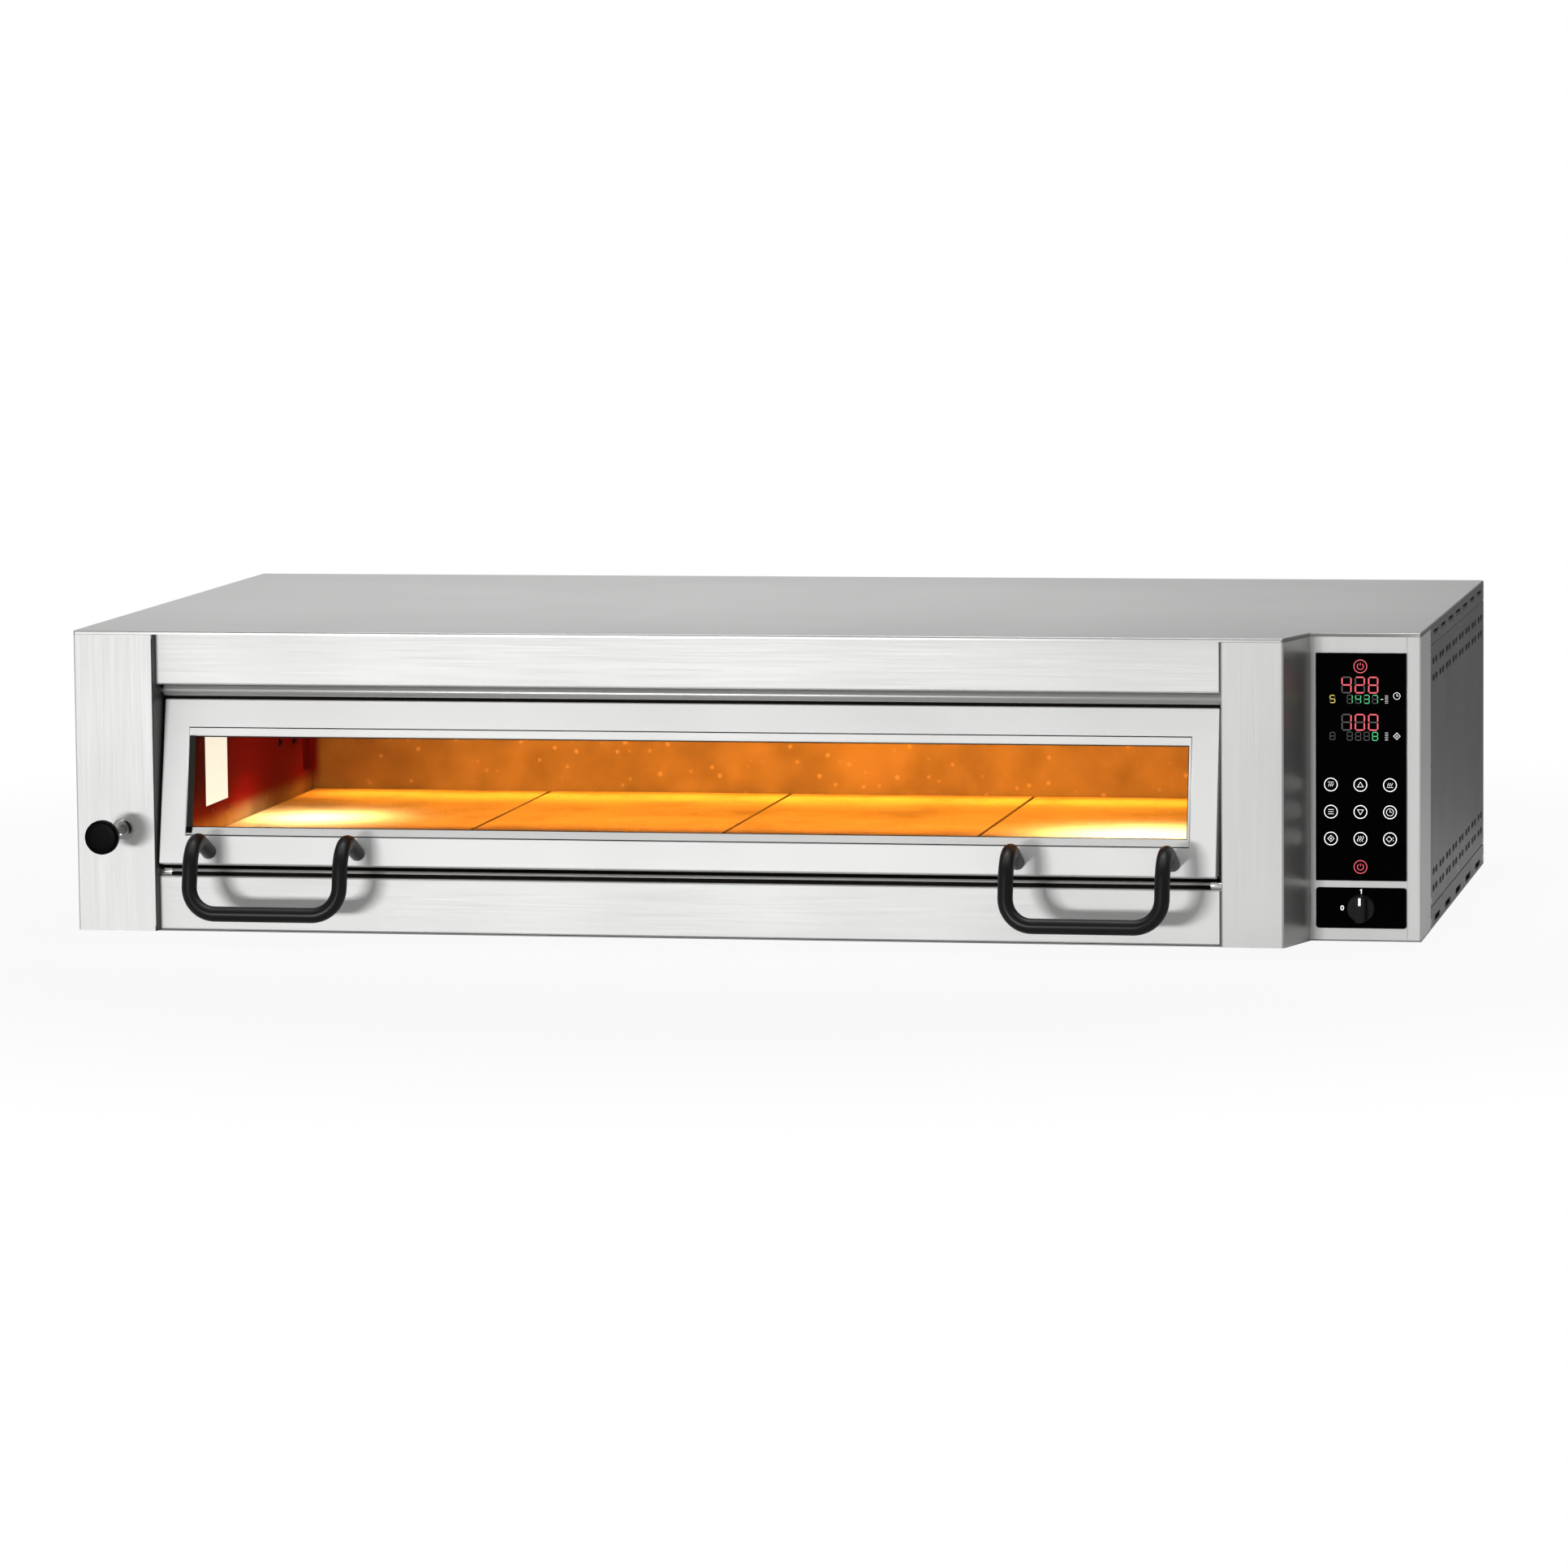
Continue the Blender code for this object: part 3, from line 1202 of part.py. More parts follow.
def build_fan():
    """Cooling fan on the back panel: square frame, struts, motor boss with its shaft, and the rotor."""
    centre = (FAN_X, FAN_HEIGHT)
    half = FAN / 2
    frame = add(
        "fan_frame",
        box(FAN_X - half, FAN_X + half, FAN_FRONT, FAN_BACK, FAN_HEIGHT - half, FAN_HEIGHT + half),
        BLACK_PLASTIC,
    )
    cut(frame, [hole("Y", centre, FAN_BORE_RADIUS, FAN_FRONT - CUT, FAN_BACK + CUT)], "bore")
    strut_front = FAN_BACK - FAN_STRUT
    reach = FAN_BORE_RADIUS + FAN_STRUT / 4
    thick = FAN_STRUT / 2
    inlay = FAN_STRUT / 6
    bar = (strut_front, FAN_BACK - inlay)
    join(frame, box(FAN_X - reach, FAN_X + reach, *bar, FAN_HEIGHT - thick, FAN_HEIGHT + thick), "strut")
    bar = (strut_front + inlay, FAN_BACK - 2 * inlay)
    join(frame, box(FAN_X - thick, FAN_X + thick, *bar, FAN_HEIGHT - reach, FAN_HEIGHT + reach), "stay")
    boss_front = strut_front - inlay
    hub_front = FAN_FRONT + FAN_STRUT
    boss = [
        (FAN_SHAFT_RADIUS, hub_front + FAN_STRUT / 2),
        (FAN_SHAFT_RADIUS, boss_front),
        (FAN_HUB_RADIUS, boss_front),
        (FAN_HUB_RADIUS, FAN_BACK - inlay / 2),
    ]
    join(frame, turned(boss, "Y", centre), "boss")

    axis = pivot("fan_axis", (FAN_X, FAN_FRONT, FAN_HEIGHT))
    bore = FAN_SHAFT_RADIUS + RUNNING_FIT
    hub_back = boss_front - FIT - FAN_FRONT
    hub = [
        (FAN_HUB_RADIUS, FAN_STRUT),
        (FAN_HUB_RADIUS, hub_back),
        (bore, hub_back),
        (bore, FAN_STRUT),
    ]
    rotor = add("fan_rotor", turned(hub, "Y", (0, 0), SIDES, closed=True), BLACK_PLASTIC, axis)
    middle = (FAN_STRUT + hub_back) / 2
    depth = min(FAN_BLADE * math.sin(FAN_BLADE_PITCH), hub_back - FAN_STRUT - FAN_BLADE_THICKNESS * 2)
    chord = depth / math.sin(FAN_BLADE_PITCH)
    blades = []
    for i in range(FAN_BLADES):
        turn = Matrix.Rotation(2 * math.pi * i / FAN_BLADES, 4, "Y")
        pitch = Matrix.Rotation(FAN_BLADE_PITCH, 4, "X")
        points, faces = box(
            FAN_BLADE_ROOT,
            FAN_BLADE_RADIUS,
            -FAN_BLADE_THICKNESS / 2,
            FAN_BLADE_THICKNESS / 2,
            -chord / 2,
            chord / 2,
        )
        shift = Vector((0, middle, 0))
        blades.append(([tuple(turn @ (pitch @ Vector(p) + shift)) for p in points], faces))
    join(rotor, merged(blades), "blades")


def build_electrics():
    """Contactor and mains terminals on the floor of the control end, and the supply gland in the back."""
    x0 = RIGHT - CONTACTOR_SIDE - CONTACTOR_WIDTH
    y0 = BACK - CONTACTOR_BACK
    y1 = y0 + CONTACTOR_LENGTH
    ledge = FLOOR_SEAT + CONTACTOR_LEDGE
    crown = FLOOR_SEAT + CONTACTOR_HEIGHT
    profile = [
        (y0, FLOOR_SEAT),
        (y1, FLOOR_SEAT),
        (y1, ledge),
        (y1 - CONTACTOR_STEP, ledge),
        (y1 - CONTACTOR_STEP, crown),
        (y0 + CONTACTOR_STEP, crown),
        (y0 + CONTACTOR_STEP, ledge),
        (y0, ledge),
    ]
    add("contactor", prism(profile, "X", x0, x0 + CONTACTOR_WIDTH), PALE_PLASTIC)
    y0 = BACK - TERMINAL_BACK
    y1 = y0 + TERMINAL_WIDTH
    shoulder = TERMINAL_WIDTH / 4
    profile = [
        (y0, FLOOR_SEAT),
        (y1, FLOOR_SEAT),
        (y1, FLOOR_SEAT + TERMINAL_HEIGHT / 2),
        (y1 - shoulder, FLOOR_SEAT + TERMINAL_HEIGHT),
        (y0 + shoulder, FLOOR_SEAT + TERMINAL_HEIGHT),
        (y0, FLOOR_SEAT + TERMINAL_HEIGHT / 2),
    ]
    start = RIGHT - CONTACTOR_SIDE - TERMINAL_LENGTH
    add("terminal_block", prism(profile, "X", start, start + TERMINAL_LENGTH), PALE_PLASTIC)
    outside = BACK_PANEL + SHEET + FIT
    inside = BACK_PANEL - FIT
    nut = GLAND_FLANGE / 3
    ring = [
        (GLAND_FLANGE, inside - nut),
        (GLAND_FLANGE, inside),
        (GLAND_RADIUS, inside),
        (GLAND_RADIUS, outside),
        (GLAND_FLANGE, outside),
        (GLAND_FLANGE, outside + nut),
        (GLAND_RADIUS, outside + GLAND_OUT - nut),
        (GLAND_BORE + nut / 3, outside + GLAND_OUT),
        (GLAND_BORE, outside + GLAND_OUT),
        (GLAND_BORE, inside - nut),
    ]
    add("cable_gland", turned(ring, "Y", (GLAND_X, GLAND_HEIGHT), SIDES, closed=True), BLACK_PLASTIC)


build_base_pan()
build_top_cover()
build_side_panels()
build_back_panel()
build_front_columns()
build_fascias()
build_chamber()
build_hearth()
build_elements()
build_insulation()
build_lamps()
build_probe()
build_seal()
build_door()
build_hinge_pins()
build_sill()
build_vent()
build_controls()
build_fan()
build_electrics()
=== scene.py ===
"""Looks of a countertop pizza oven: finishes, rounded sheet edges, fine round pieces, signs and studio.

The file is laid out as an add-on and is run as a script. Lengths are metres, in the frame of the
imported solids: +X to the control end, +Y to the back, +Z up, origin in the middle of the underside.
"""

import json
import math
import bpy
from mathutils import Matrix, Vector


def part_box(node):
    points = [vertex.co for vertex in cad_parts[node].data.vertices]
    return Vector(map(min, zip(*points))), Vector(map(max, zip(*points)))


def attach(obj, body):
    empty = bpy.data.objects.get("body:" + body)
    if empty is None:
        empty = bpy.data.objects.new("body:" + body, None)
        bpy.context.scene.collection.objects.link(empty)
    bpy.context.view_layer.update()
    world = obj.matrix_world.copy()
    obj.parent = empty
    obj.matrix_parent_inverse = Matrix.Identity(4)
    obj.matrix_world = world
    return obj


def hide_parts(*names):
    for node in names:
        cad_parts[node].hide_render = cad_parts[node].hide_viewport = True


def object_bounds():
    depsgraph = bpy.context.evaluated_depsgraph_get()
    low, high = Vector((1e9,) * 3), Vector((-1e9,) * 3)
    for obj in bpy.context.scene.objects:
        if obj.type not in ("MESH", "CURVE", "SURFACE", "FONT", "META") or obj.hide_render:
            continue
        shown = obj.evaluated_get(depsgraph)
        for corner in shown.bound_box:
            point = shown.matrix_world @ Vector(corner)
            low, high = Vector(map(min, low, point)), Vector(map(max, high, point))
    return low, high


bl_info = {
    "name": "Countertop Pizza Oven",
    "version": (1, 0, 0),
    "blender": (4, 5, 0),
    "location": "View3D > Sidebar > Oven",
    "description": "Dresses the packed solids of a deck oven with finishes and fine pieces",
    "category": "Object",
}

from functools import cache, partial

import bmesh
import bpy
import numpy as np
from bpy.props import FloatProperty, FloatVectorProperty, PointerProperty
from mathutils import Matrix, Vector

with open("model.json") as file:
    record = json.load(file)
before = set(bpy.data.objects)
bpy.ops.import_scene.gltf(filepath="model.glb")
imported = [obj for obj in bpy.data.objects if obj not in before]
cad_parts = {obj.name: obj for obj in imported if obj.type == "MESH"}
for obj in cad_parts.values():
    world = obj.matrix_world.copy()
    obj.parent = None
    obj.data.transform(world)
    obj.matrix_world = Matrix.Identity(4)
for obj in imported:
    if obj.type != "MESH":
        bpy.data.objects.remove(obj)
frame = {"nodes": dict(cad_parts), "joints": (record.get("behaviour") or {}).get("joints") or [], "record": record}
CAD_BOX = [list(corner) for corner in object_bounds()]

RECORD = frame["record"]
BODY = {node: body for body, nodes in RECORD["behaviour"]["bodies"].items() for node in nodes}
HINGE = np.array(next(joint["pos_m"] for joint in frame["joints"] if joint["name"] == "door_hinge"))
MM = 0.001
LEAN = math.radians(12)
# Radius at which a spun profile ends beside its axis
AXIS = MM / 100
WHITE = (1.0, 1.0, 1.0, 1.0)
BLACK = (0.0, 0.0, 0.0, 1.0)


# Settings

def linear(code):
    """An sRGB hex colour in linear light: c / 12.92 up to 0.04045, above that ((c + 0.055) / 1.055) ^ 2.4."""
    channel = np.array([int(code[i : i + 2], 16) for i in (1, 3, 5)]) / 255
    return tuple(np.where(channel <= 0.04045, channel / 12.92, ((channel + 0.055) / 1.055) ** 2.4))


def length(name, description, default):
    """A property that holds a length in metres."""
    return FloatProperty(name=name, description=description, default=default, unit="LENGTH", precision=5)


def angle(name, description, default):
    """A property that holds an angle in radians."""
    return FloatProperty(name=name, description=description, default=default, unit="ROTATION")


def power(name, description, default):
    """A property that holds a lamp's power in watts."""
    return FloatProperty(name=name, description=description, default=default, subtype="POWER")


def tint(name, description, default):
    """A property that holds a colour, given as sRGB hex."""
    return FloatVectorProperty(
        name=name, description=description, default=linear(default), subtype="COLOR", min=0, max=1
    )


class OvenSizes(bpy.types.PropertyGroup):
    """Sizes of the fine shapes."""

    bend: length("Sheet bend", "Outer radius of the folds in the steel sheets", 2.2 * MM)
    edge: length("Bezel edge", "Rounding of the door bezel's edges", 0.4 * MM)
    stone_edge: length("Stone edge", "Rounding of the hearth stones", 3.2 * MM)
    handle_tube: length("Handle tube", "Radius of the handles' tube", 10 * MM)
    handle_corner: length("Handle corner", "Radius of the handles' lower bends", 36 * MM)
    handle_neck: length("Handle neck", "Radius of the handles' bends at the door", 38 * MM)
    handle_standoff: length("Handle stand-off", "Distance of the handles from the door's face", 88 * MM)
    handle_leg: length("Handle leg", "Height of the handles from neck to bar", 99 * MM)
    knob_rim: length("Knob rim", "Rounding of the vent knob's face", 4 * MM)
    grip: length("Switch grip", "Width of the bar across the switch knob", 13 * MM)
    skirt: length("Switch skirt", "Height of the switch knob's round skirt", 8 * MM)
    screw: length("Screw head", "Radius of the sheet screws' heads", 4.2 * MM)
    screw_rise: length("Screw rise", "Height of the flush heads in the sides", 0.06 * MM)
    button: length("Button", "Radius of the rings round the touch buttons", 8.3 * MM)
    line: length("Line", "Width of the lines of signs on the control glass", 1.15 * MM)
    print_height: length("Print", "Thickness of the print on the control glass", 0.15 * MM)


class OvenColours(bpy.types.PropertyGroup):
    """Colours of the finishes."""

    steel: tint("Steel", "Brushed stainless sheet of the front", "#E4E4E3")
    # Painted light: the door's steel is a brighter copy of the front's, for the light the leaning door misses
    door: tint("Door", "Brushed stainless of the leaning door", "#F6F6F5")
    # Painted shade: darker than the front's steel, for the dimmer light at the control end
    control: tint("Control steel", "Brushed stainless sheet of the control end", "#DADAD9")
    # Painted shade: much darker than the front's steel, for the dimmer light on top
    roof: tint("Roof", "Rolled stainless sheet of the roof", "#B0B0AF")
    # Painted shade: darker than the column it is part of, standing in for part of the chamfer's dark reflection
    chamfer: tint("Chamfer", "Bright stainless sheet of the chamfer", "#C8C8C7")
    # Painted shade: the roof's side lips darker than its top, for the shade on the sides
    lip: tint("Lip", "Stainless sheet of the roof's side lips", "#8C8C8B")
    # Painted shade: this dark grey on the columns' returns and the fascia seam beads stands in for the shade there
    return_shade: tint("Fold", "Unbrushed returns of the columns", "#4A4A4A")
    tube: tint("Hinge tube", "Drawn steel of the hinge tube", "#B2B2B1")
    rod: tint("Sill bar", "Drawn steel of sill bar and vent rod", "#B0B0AE")
    bright: tint("Bright", "Polished steel bushes, screws and trim", "#F4F4F2")
    grey: tint("Grey", "Satin coat of the side and back sheets", "#828282")
    coat: tint("Coat", "Black powder coat of the handles", "#0A0A0A")
    plastic: tint("Plastic", "Black moulded plastic", "#060606")
    charcoal: tint("Charcoal", "Dark grey plastic of the switch knob", "#2C2C2C")
    gasket: tint("Gasket", "Dark rubber round the pane", "#343634")
    pale: tint("Pale plastic", "Moulded cases of the electrical parts", "#C4C2BA")
    glass: tint("Door glass", "Heat-proof pane in the door", "#FBF6EC")
    panel: tint("Panel glass", "Black back-printed control glass", "#030304")
    chamber: tint("Chamber", "Aluminised sheet, tinted by heat", "#8E7A5A")
    # Painted shade: a dark red that stands for the dim lamp light on the left wall
    wall_shade: tint("Scorch", "Aluminised sheet, sooted red-brown", "#5C0301")
    # This dark also serves as painted shade: on the door's liner and under the sill bar
    burnt: tint("Burnt", "Sheet blackened by heat", "#1C1815")
    stone: tint("Stone", "Fired refractory hearth", "#D8BE94")
    sheath: tint("Sheath", "Oxidised heating element", "#4A4039")
    wool: tint("Wool", "Mineral wool slab", "#B9AE8E")
    rope: tint("Rope", "Braided glass-fibre seal", "#C9C6BA")
    board: tint("Board", "Circuit board lacquer", "#1D5A36")
    lamp: tint("Lamp", "Lit lamp glass", "#FEFFF4")
    glow: tint("Glow", "Light of the chamber lamps", "#FFEBBE")
    heat: tint("Heat", "Light of the upper elements", "#FFA834")
    red: tint("Red digit", "Lit red segments and signs", "#FF5C6C")
    green: tint("Green digit", "Lit green segments", "#3FE08A")
    yellow: tint("Yellow digit", "Lit yellow segments", "#F0DE62")
    # Painted glow: the off segments glow faintly in this grey
    unlit: tint("Unlit digit", "Segments that are off", "#3E3E3E")
    ink: tint("Ink", "White print", "#F4F4F2")


class OvenStage(bpy.types.PropertyGroup):
    """Camera, lamps and floor."""

    place: FloatVectorProperty(
        name="Camera", description="Place of the camera", default=(1.8059, -9.3669, 1.1916), unit="LENGTH"
    )
    yaw: angle("Yaw", "Turn to the left of +Y", 0.1930)
    pitch: angle("Pitch", "Tilt below the horizon", 0.1083)
    roll: angle("Roll", "Turn about the line of sight", -0.0099)
    lens: FloatProperty(name="Lens", description="Focal length in mm on a 36 mm sensor", default=161.5)
    ambient: FloatProperty(name="Ambient", description="Light from all round", default=0.24)
    key: power("Key lamp", "Soft lamp in front, left", 158)
    overhead: power("Overhead", "Lamp above, for the roof", 6)
    rear: power("Rear lamp", "Soft lamp behind, right", 90)
    lamp: power("Chamber lamps", "Each chamber lamp", 0.62)
    foot: power("Wall foot", "Glow at the foot of each end wall", 0.09)
    heat: power("Elements", "Glow of the upper elements", 7.2)
    floor: tint("Floor", "Pale studio floor", "#F2F2F2")


# Shapes: points and groups of faces

def grid_quads(rows, columns, ring):
    """Corners of the quads of a grid numbered row by row. Each row closes, and in a ring the rows do too."""
    row = np.arange(rows if ring else rows - 1)[:, None]
    column = np.arange(columns)[None, :]
    here, above, beside = row * columns, (row + 1) % rows * columns, (column + 1) % columns
    corners = here + column, here + beside, above + beside, above + column
    return np.stack(np.broadcast_arrays(*corners), -1).reshape(-1, 4)


def skin(loops, ring=False):
    """Closed surface over loops x points x 3: quads from loop to loop, and the end loops capped."""
    rows, columns = loops.shape[:2]
    faces = [grid_quads(rows, columns, ring)]
    if not ring:
        first = np.arange(columns)[None, :]
        faces += [first[:, ::-1], first + (rows - 1) * columns]
    return loops.reshape(-1, 3), faces


def merged(shapes):
    """Several closed shapes as one: their points in a row, with face corners counted on."""
    starts = np.cumsum([0] + [len(points) for points, _ in shapes])
    points = np.concatenate([points for points, _ in shapes])
    faces = [group + start for (_, groups), start in zip(shapes, starts) for group in groups]
    return points, faces


def unit(vectors):
    """Vectors cut or stretched to a length of 1."""
    return vectors / np.linalg.norm(vectors, axis=-1, keepdims=True)


def rounded(points, radii, steps, closed=False):
    """A polyline with arcs for corners: each arc swings from one leg's tangent point to the other's."""
    points = np.asarray(points, float)
    radii = np.broadcast_to(radii, len(points))
    runs = []
    for i, corner in enumerate(points):
        if radii[i] == 0 or not closed and i in (0, len(points) - 1):
            runs.append(corner[None])
            continue
        before = unit(points[i - 1] - corner)
        after = unit(points[(i + 1) % len(points)] - corner)
        half = math.acos(before @ after) / 2
        hub = corner + unit(before + after) * radii[i] / math.sin(half)
        start = corner + before * radii[i] / math.tan(half) - hub
        end = corner + after * radii[i] / math.tan(half) - hub
        sweep = math.pi - 2 * half
        t = np.linspace(0, 1, steps + 1)[:, None]
        runs.append(hub + (np.sin((1 - t) * sweep) * start + np.sin(t * sweep) * end) / math.sin(sweep))
    return np.concatenate(runs)


def turned(profile, axis, centre, sides, ring=False):
    """A profile of (radius, along) spun round X or Y: centre + radius (cos t, sin t) across the axis."""
    profile = np.asarray(profile, float)
    turn = np.linspace(0, 2 * np.pi, sides, endpoint=False)
    across = centre[0] + profile[:, :1] * np.cos(turn)
    up = centre[1] + profile[:, :1] * np.sin(turn)
    along = np.broadcast_to(profile[:, 1:], across.shape)
    order = (along, across, up) if axis == "X" else (across, along, up)
    return skin(np.stack(order, -1), ring)


def spun(points, radii, centre, sides, axis="Y", steps=4, ring=True):
    """A profile with its corners rounded, spun round an axis. A ring's profile closes clear of the axis."""
    return turned(rounded(points, radii, steps, closed=ring), axis, centre, sides, ring)


def tube(path, radius, sides, reference):
    """A circle carried along a path, its first axis square to a direction that the path never follows."""
    tangent = unit(np.gradient(path, axis=0))
    side = unit(np.cross(tangent, reference))
    other = np.cross(side, tangent)
    turn = np.linspace(0, 2 * np.pi, sides, endpoint=False)[None, :, None]
    return skin(path[:, None] + radius * (np.cos(turn) * side[:, None] + np.sin(turn) * other[:, None]))


def mitres(points, closed):
    """Offsets to the left of a flat polyline, width 1: the sum of both legs' normals over 1 + their dot."""
    step = unit(np.roll(points, -1, axis=0) - points)
    ahead = np.stack([-step[:, 1], step[:, 0]], -1)
    behind = np.roll(ahead, 1, axis=0)
    if not closed:
        ahead[-1] = behind[-1]
        behind[0] = ahead[0]
    return (ahead + behind) / (1 + np.sum(ahead * behind, axis=1, keepdims=True))


def stroke(points, width, height, closed=False):
    """A flat line on a face: a rectangle of width by height carried along a polyline with mitred corners."""
    points = np.asarray(points, float)
    reach = mitres(points, closed) * width / 2
    low = np.zeros((len(points), 1))
    left, right = points + reach, points - reach
    corners = [(left, low), (right, low), (right, low + height), (left, low + height)]
    return skin(np.stack([np.hstack(pair) for pair in corners], 1), closed)


def plate(outline, thickness, edge, steps=3):
    """A flat plate with round rims: near each face it draws in by edge (1 - sin t) at edge (1 - cos t)."""
    outline = np.asarray(outline, float)
    turn = np.linspace(0, np.pi / 2, steps + 1)
    draw = edge * (1 - np.sin(turn))
    rise = edge * (1 - np.cos(turn))
    draw = np.concatenate([draw, draw[::-1]])[:, None, None]
    rise = np.concatenate([rise, thickness - rise[::-1]])
    flat = outline[None] + draw * mitres(outline, True)[None]
    height = np.broadcast_to(rise[:, None, None], (len(rise), len(outline), 1))
    return skin(np.concatenate([flat, height], -1))


def ellipse(centre, radius, count=40, squash=1.0):
    """Points round an ellipse: centre + radius (cos t, squash sin t)."""
    turn = np.linspace(0, 2 * np.pi, count, endpoint=False)
    return np.asarray(centre) + radius * np.stack([np.cos(turn), squash * np.sin(turn)], -1)


def oblong(width, height, corner, steps=5):
    """A rectangle round the origin, anticlockwise, with round corners."""
    x, y = width / 2, height / 2
    return rounded([(-x, -y), (x, -y), (x, y), (-x, y)], corner, steps, closed=True)


def on_front(shape, origin):
    """A flat shape stood up on a face that looks along -Y: across to +X, up to +Z, its height to -Y."""
    points, faces = shape
    return np.stack([points[:, 0], -points[:, 2], points[:, 1]], -1) + np.asarray(origin), faces


def leaned(points):
    """Points of the closed door's own upright frame in the oven's: turned by the lean about the hinge."""
    y = points[:, 1] * math.cos(LEAN) + points[:, 2] * math.sin(LEAN)
    z = points[:, 2] * math.cos(LEAN) - points[:, 1] * math.sin(LEAN)
    return np.stack([points[:, 0], y, z], -1) + (0, HINGE[1], HINGE[2])


def middle(node):
    """Middle of a solid's box."""
    low, high = (np.array(corner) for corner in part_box(node))
    return (low + high) / 2


def bar(node, axis):
    """Radius, centre across and ends of a round solid from its box."""
    low, high = (np.array(corner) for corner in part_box(node))
    along = "XYZ".index(axis)
    across = [i for i in range(3) if i != along]
    return (high - low)[across].max() / 2, middle(node)[across], low[along], high[along]


def screw_head(radius, axis, centre, face, outward, rise):
    """A spun button head: low dome from its rim to a sunk round socket, seated on a sheet."""
    socket, taper, seat = 0.42, 0.9, -0.3 * MM
    turn = np.linspace(0, math.acos(socket), 6)
    dome = np.stack([radius * np.cos(turn), rise * np.sin(turn) ** 0.8], -1)
    floor = dome[-1, 1] - rise / 2
    hollow = [[radius * socket * taper, floor], [AXIS, floor]]
    profile = np.concatenate([[[AXIS, seat], [radius, seat]], dome, hollow])
    profile[:, 1] = face + outward * profile[:, 1]
    return turned(profile, axis, centre, 20)


# Pieces: shapes shown with a finish

def mesh_of(name, shape):
    """A mesh from points and groups of faces, with every closed shell facing outwards."""
    points, faces = shape
    corners = np.concatenate([group.ravel() for group in faces])
    sizes = np.concatenate([np.full(len(group), group.shape[1]) for group in faces])
    mesh = bpy.data.meshes.new(name)
    mesh.vertices.add(len(points))
    mesh.vertices.foreach_set("co", points.astype(np.float32).ravel())
    mesh.loops.add(len(corners))
    mesh.loops.foreach_set("vertex_index", corners.astype(np.int32))
    mesh.polygons.add(len(sizes))
    mesh.polygons.foreach_set("loop_start", (np.cumsum(sizes) - sizes).astype(np.int32))
    mesh.update(calc_edges=True)
    work = bmesh.new()
    work.from_mesh(mesh)
    bmesh.ops.recalc_face_normals(work, faces=work.faces)
    work.to_mesh(mesh)
    work.free()
    return mesh


def show(name, mesh, look, body, crease=40):
    """One shown piece: its mesh shaded smooth up to a crease, with a finish, riding on a body."""
    mesh.shade_smooth()
    mesh.set_sharp_from_angle(angle=math.radians(crease))
    mesh.materials.append(finish(look))
    piece = bpy.data.objects.new(name, mesh)
    bpy.context.scene.collection.objects.link(piece)
    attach(piece, body)
    return piece


def stand_in(node, shape, look, crease=40):
    """A finer piece shown in place of a solid, riding on the solid's body."""
    name = f"{node}_fine"
    piece = show(name, mesh_of(name, shape), look, BODY[node], crease)
    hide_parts(node)
    return piece


def detail(name, shape, look, like):
    """An added piece that rides with a solid."""
    show(name, mesh_of(name, shape), look, BODY[like])


def dress(look, *nodes):
    """Puts a finish on solids whose shape is shown as it is."""
    for node in nodes:
        for slot in frame["nodes"][node].material_slots:
            slot.material = finish(look)


def join_flat(work):
    """Joins neighbouring faces of one plane, two by two, where they touch along one edge and nowhere else."""
    level = math.radians(0.5)
    for line in list(work.edges):
        if not line.is_valid or len(line.link_faces) != 2 or line.calc_face_angle() > level:
            continue
        one, other = line.link_faces
        if len(set(one.verts) & set(other.verts)) == 2:
            bmesh.utils.face_join((one, other))


def breadth(face):
    """Mean width of a strip-like face: twice its area over its perimeter."""
    return 2 * face.calc_area() / face.calc_perimeter()


def softened(node, look, bend):
    """A merged copy of a solid with rounded folds: an edge is rounded where two broad faces meet outwards."""
    sharp, touching = math.radians(30), MM / 1000
    long_enough, broad_enough = 2 * bend, 1.5 * bend
    work = bmesh.new()
    work.from_mesh(frame["nodes"][node].data)
    bmesh.ops.remove_doubles(work, verts=work.verts, dist=touching)
    join_flat(work)
    weight = work.edges.layers.float.new("bevel_weight_edge")
    for line in work.edges:
        if len(line.link_faces) != 2 or not line.is_convex or line.calc_face_angle() < sharp:
            continue
        if line.calc_length() > long_enough and min(map(breadth, line.link_faces)) > broad_enough:
            line[weight] = 1.0
    mesh = bpy.data.meshes.new(f"{node}_sheet")
    work.to_mesh(mesh)
    work.free()
    piece = show(f"{node}_sheet", mesh, look, BODY[node])
    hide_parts(node)
    rounding = piece.modifiers.new("rounding", "BEVEL")
    rounding.limit_method = "WEIGHT"
    rounding.width = bend
    rounding.segments = 3
    rounding.use_clamp_overlap = False
    even = piece.modifiers.new("even_normals", "WEIGHTED_NORMAL")
    even.weight = 100
    even.keep_sharp = True
    return piece


def second_finish(piece, look, *directions):
    """Gives another finish to the faces of a piece that look along any of some directions."""
    mesh = piece.data
    normals = np.empty(3 * len(mesh.polygons), np.float32)
    mesh.polygons.foreach_get("normal", normals)
    nearly_along = 0.9
    cosines = normals.reshape(-1, 3) @ np.asarray(directions, np.float32).T
    mesh.materials.append(finish(look))
    mesh.polygons.foreach_set("material_index", (cosines > nearly_along).any(axis=1).astype(np.int32))


def round_bar(node, axis, look, edge, bore=0.0):
    """A round bar or bush in a solid's place: a rectangle of radius by length with round corners, spun."""
    radius, centre, low, high = bar(node, axis)
    inner = bore or AXIS
    section = [(inner, low), (radius, low), (radius, high), (inner, high)]
    return stand_in(node, spun(section, edge, centre, 48, axis, ring=bore > 0), look)


def front_plate(node, look, corner, steps, edge):
    """A flat plate with round corners and rims in the place of a solid that faces forward."""
    low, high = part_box(node)
    x, _, z = middle(node)
    shape = plate(oblong(high.x - low.x, high.z - low.z, corner, steps), high.y - low.y, edge)
    stand_in(node, on_front(shape, (x, high.y, z)), look, crease=10)


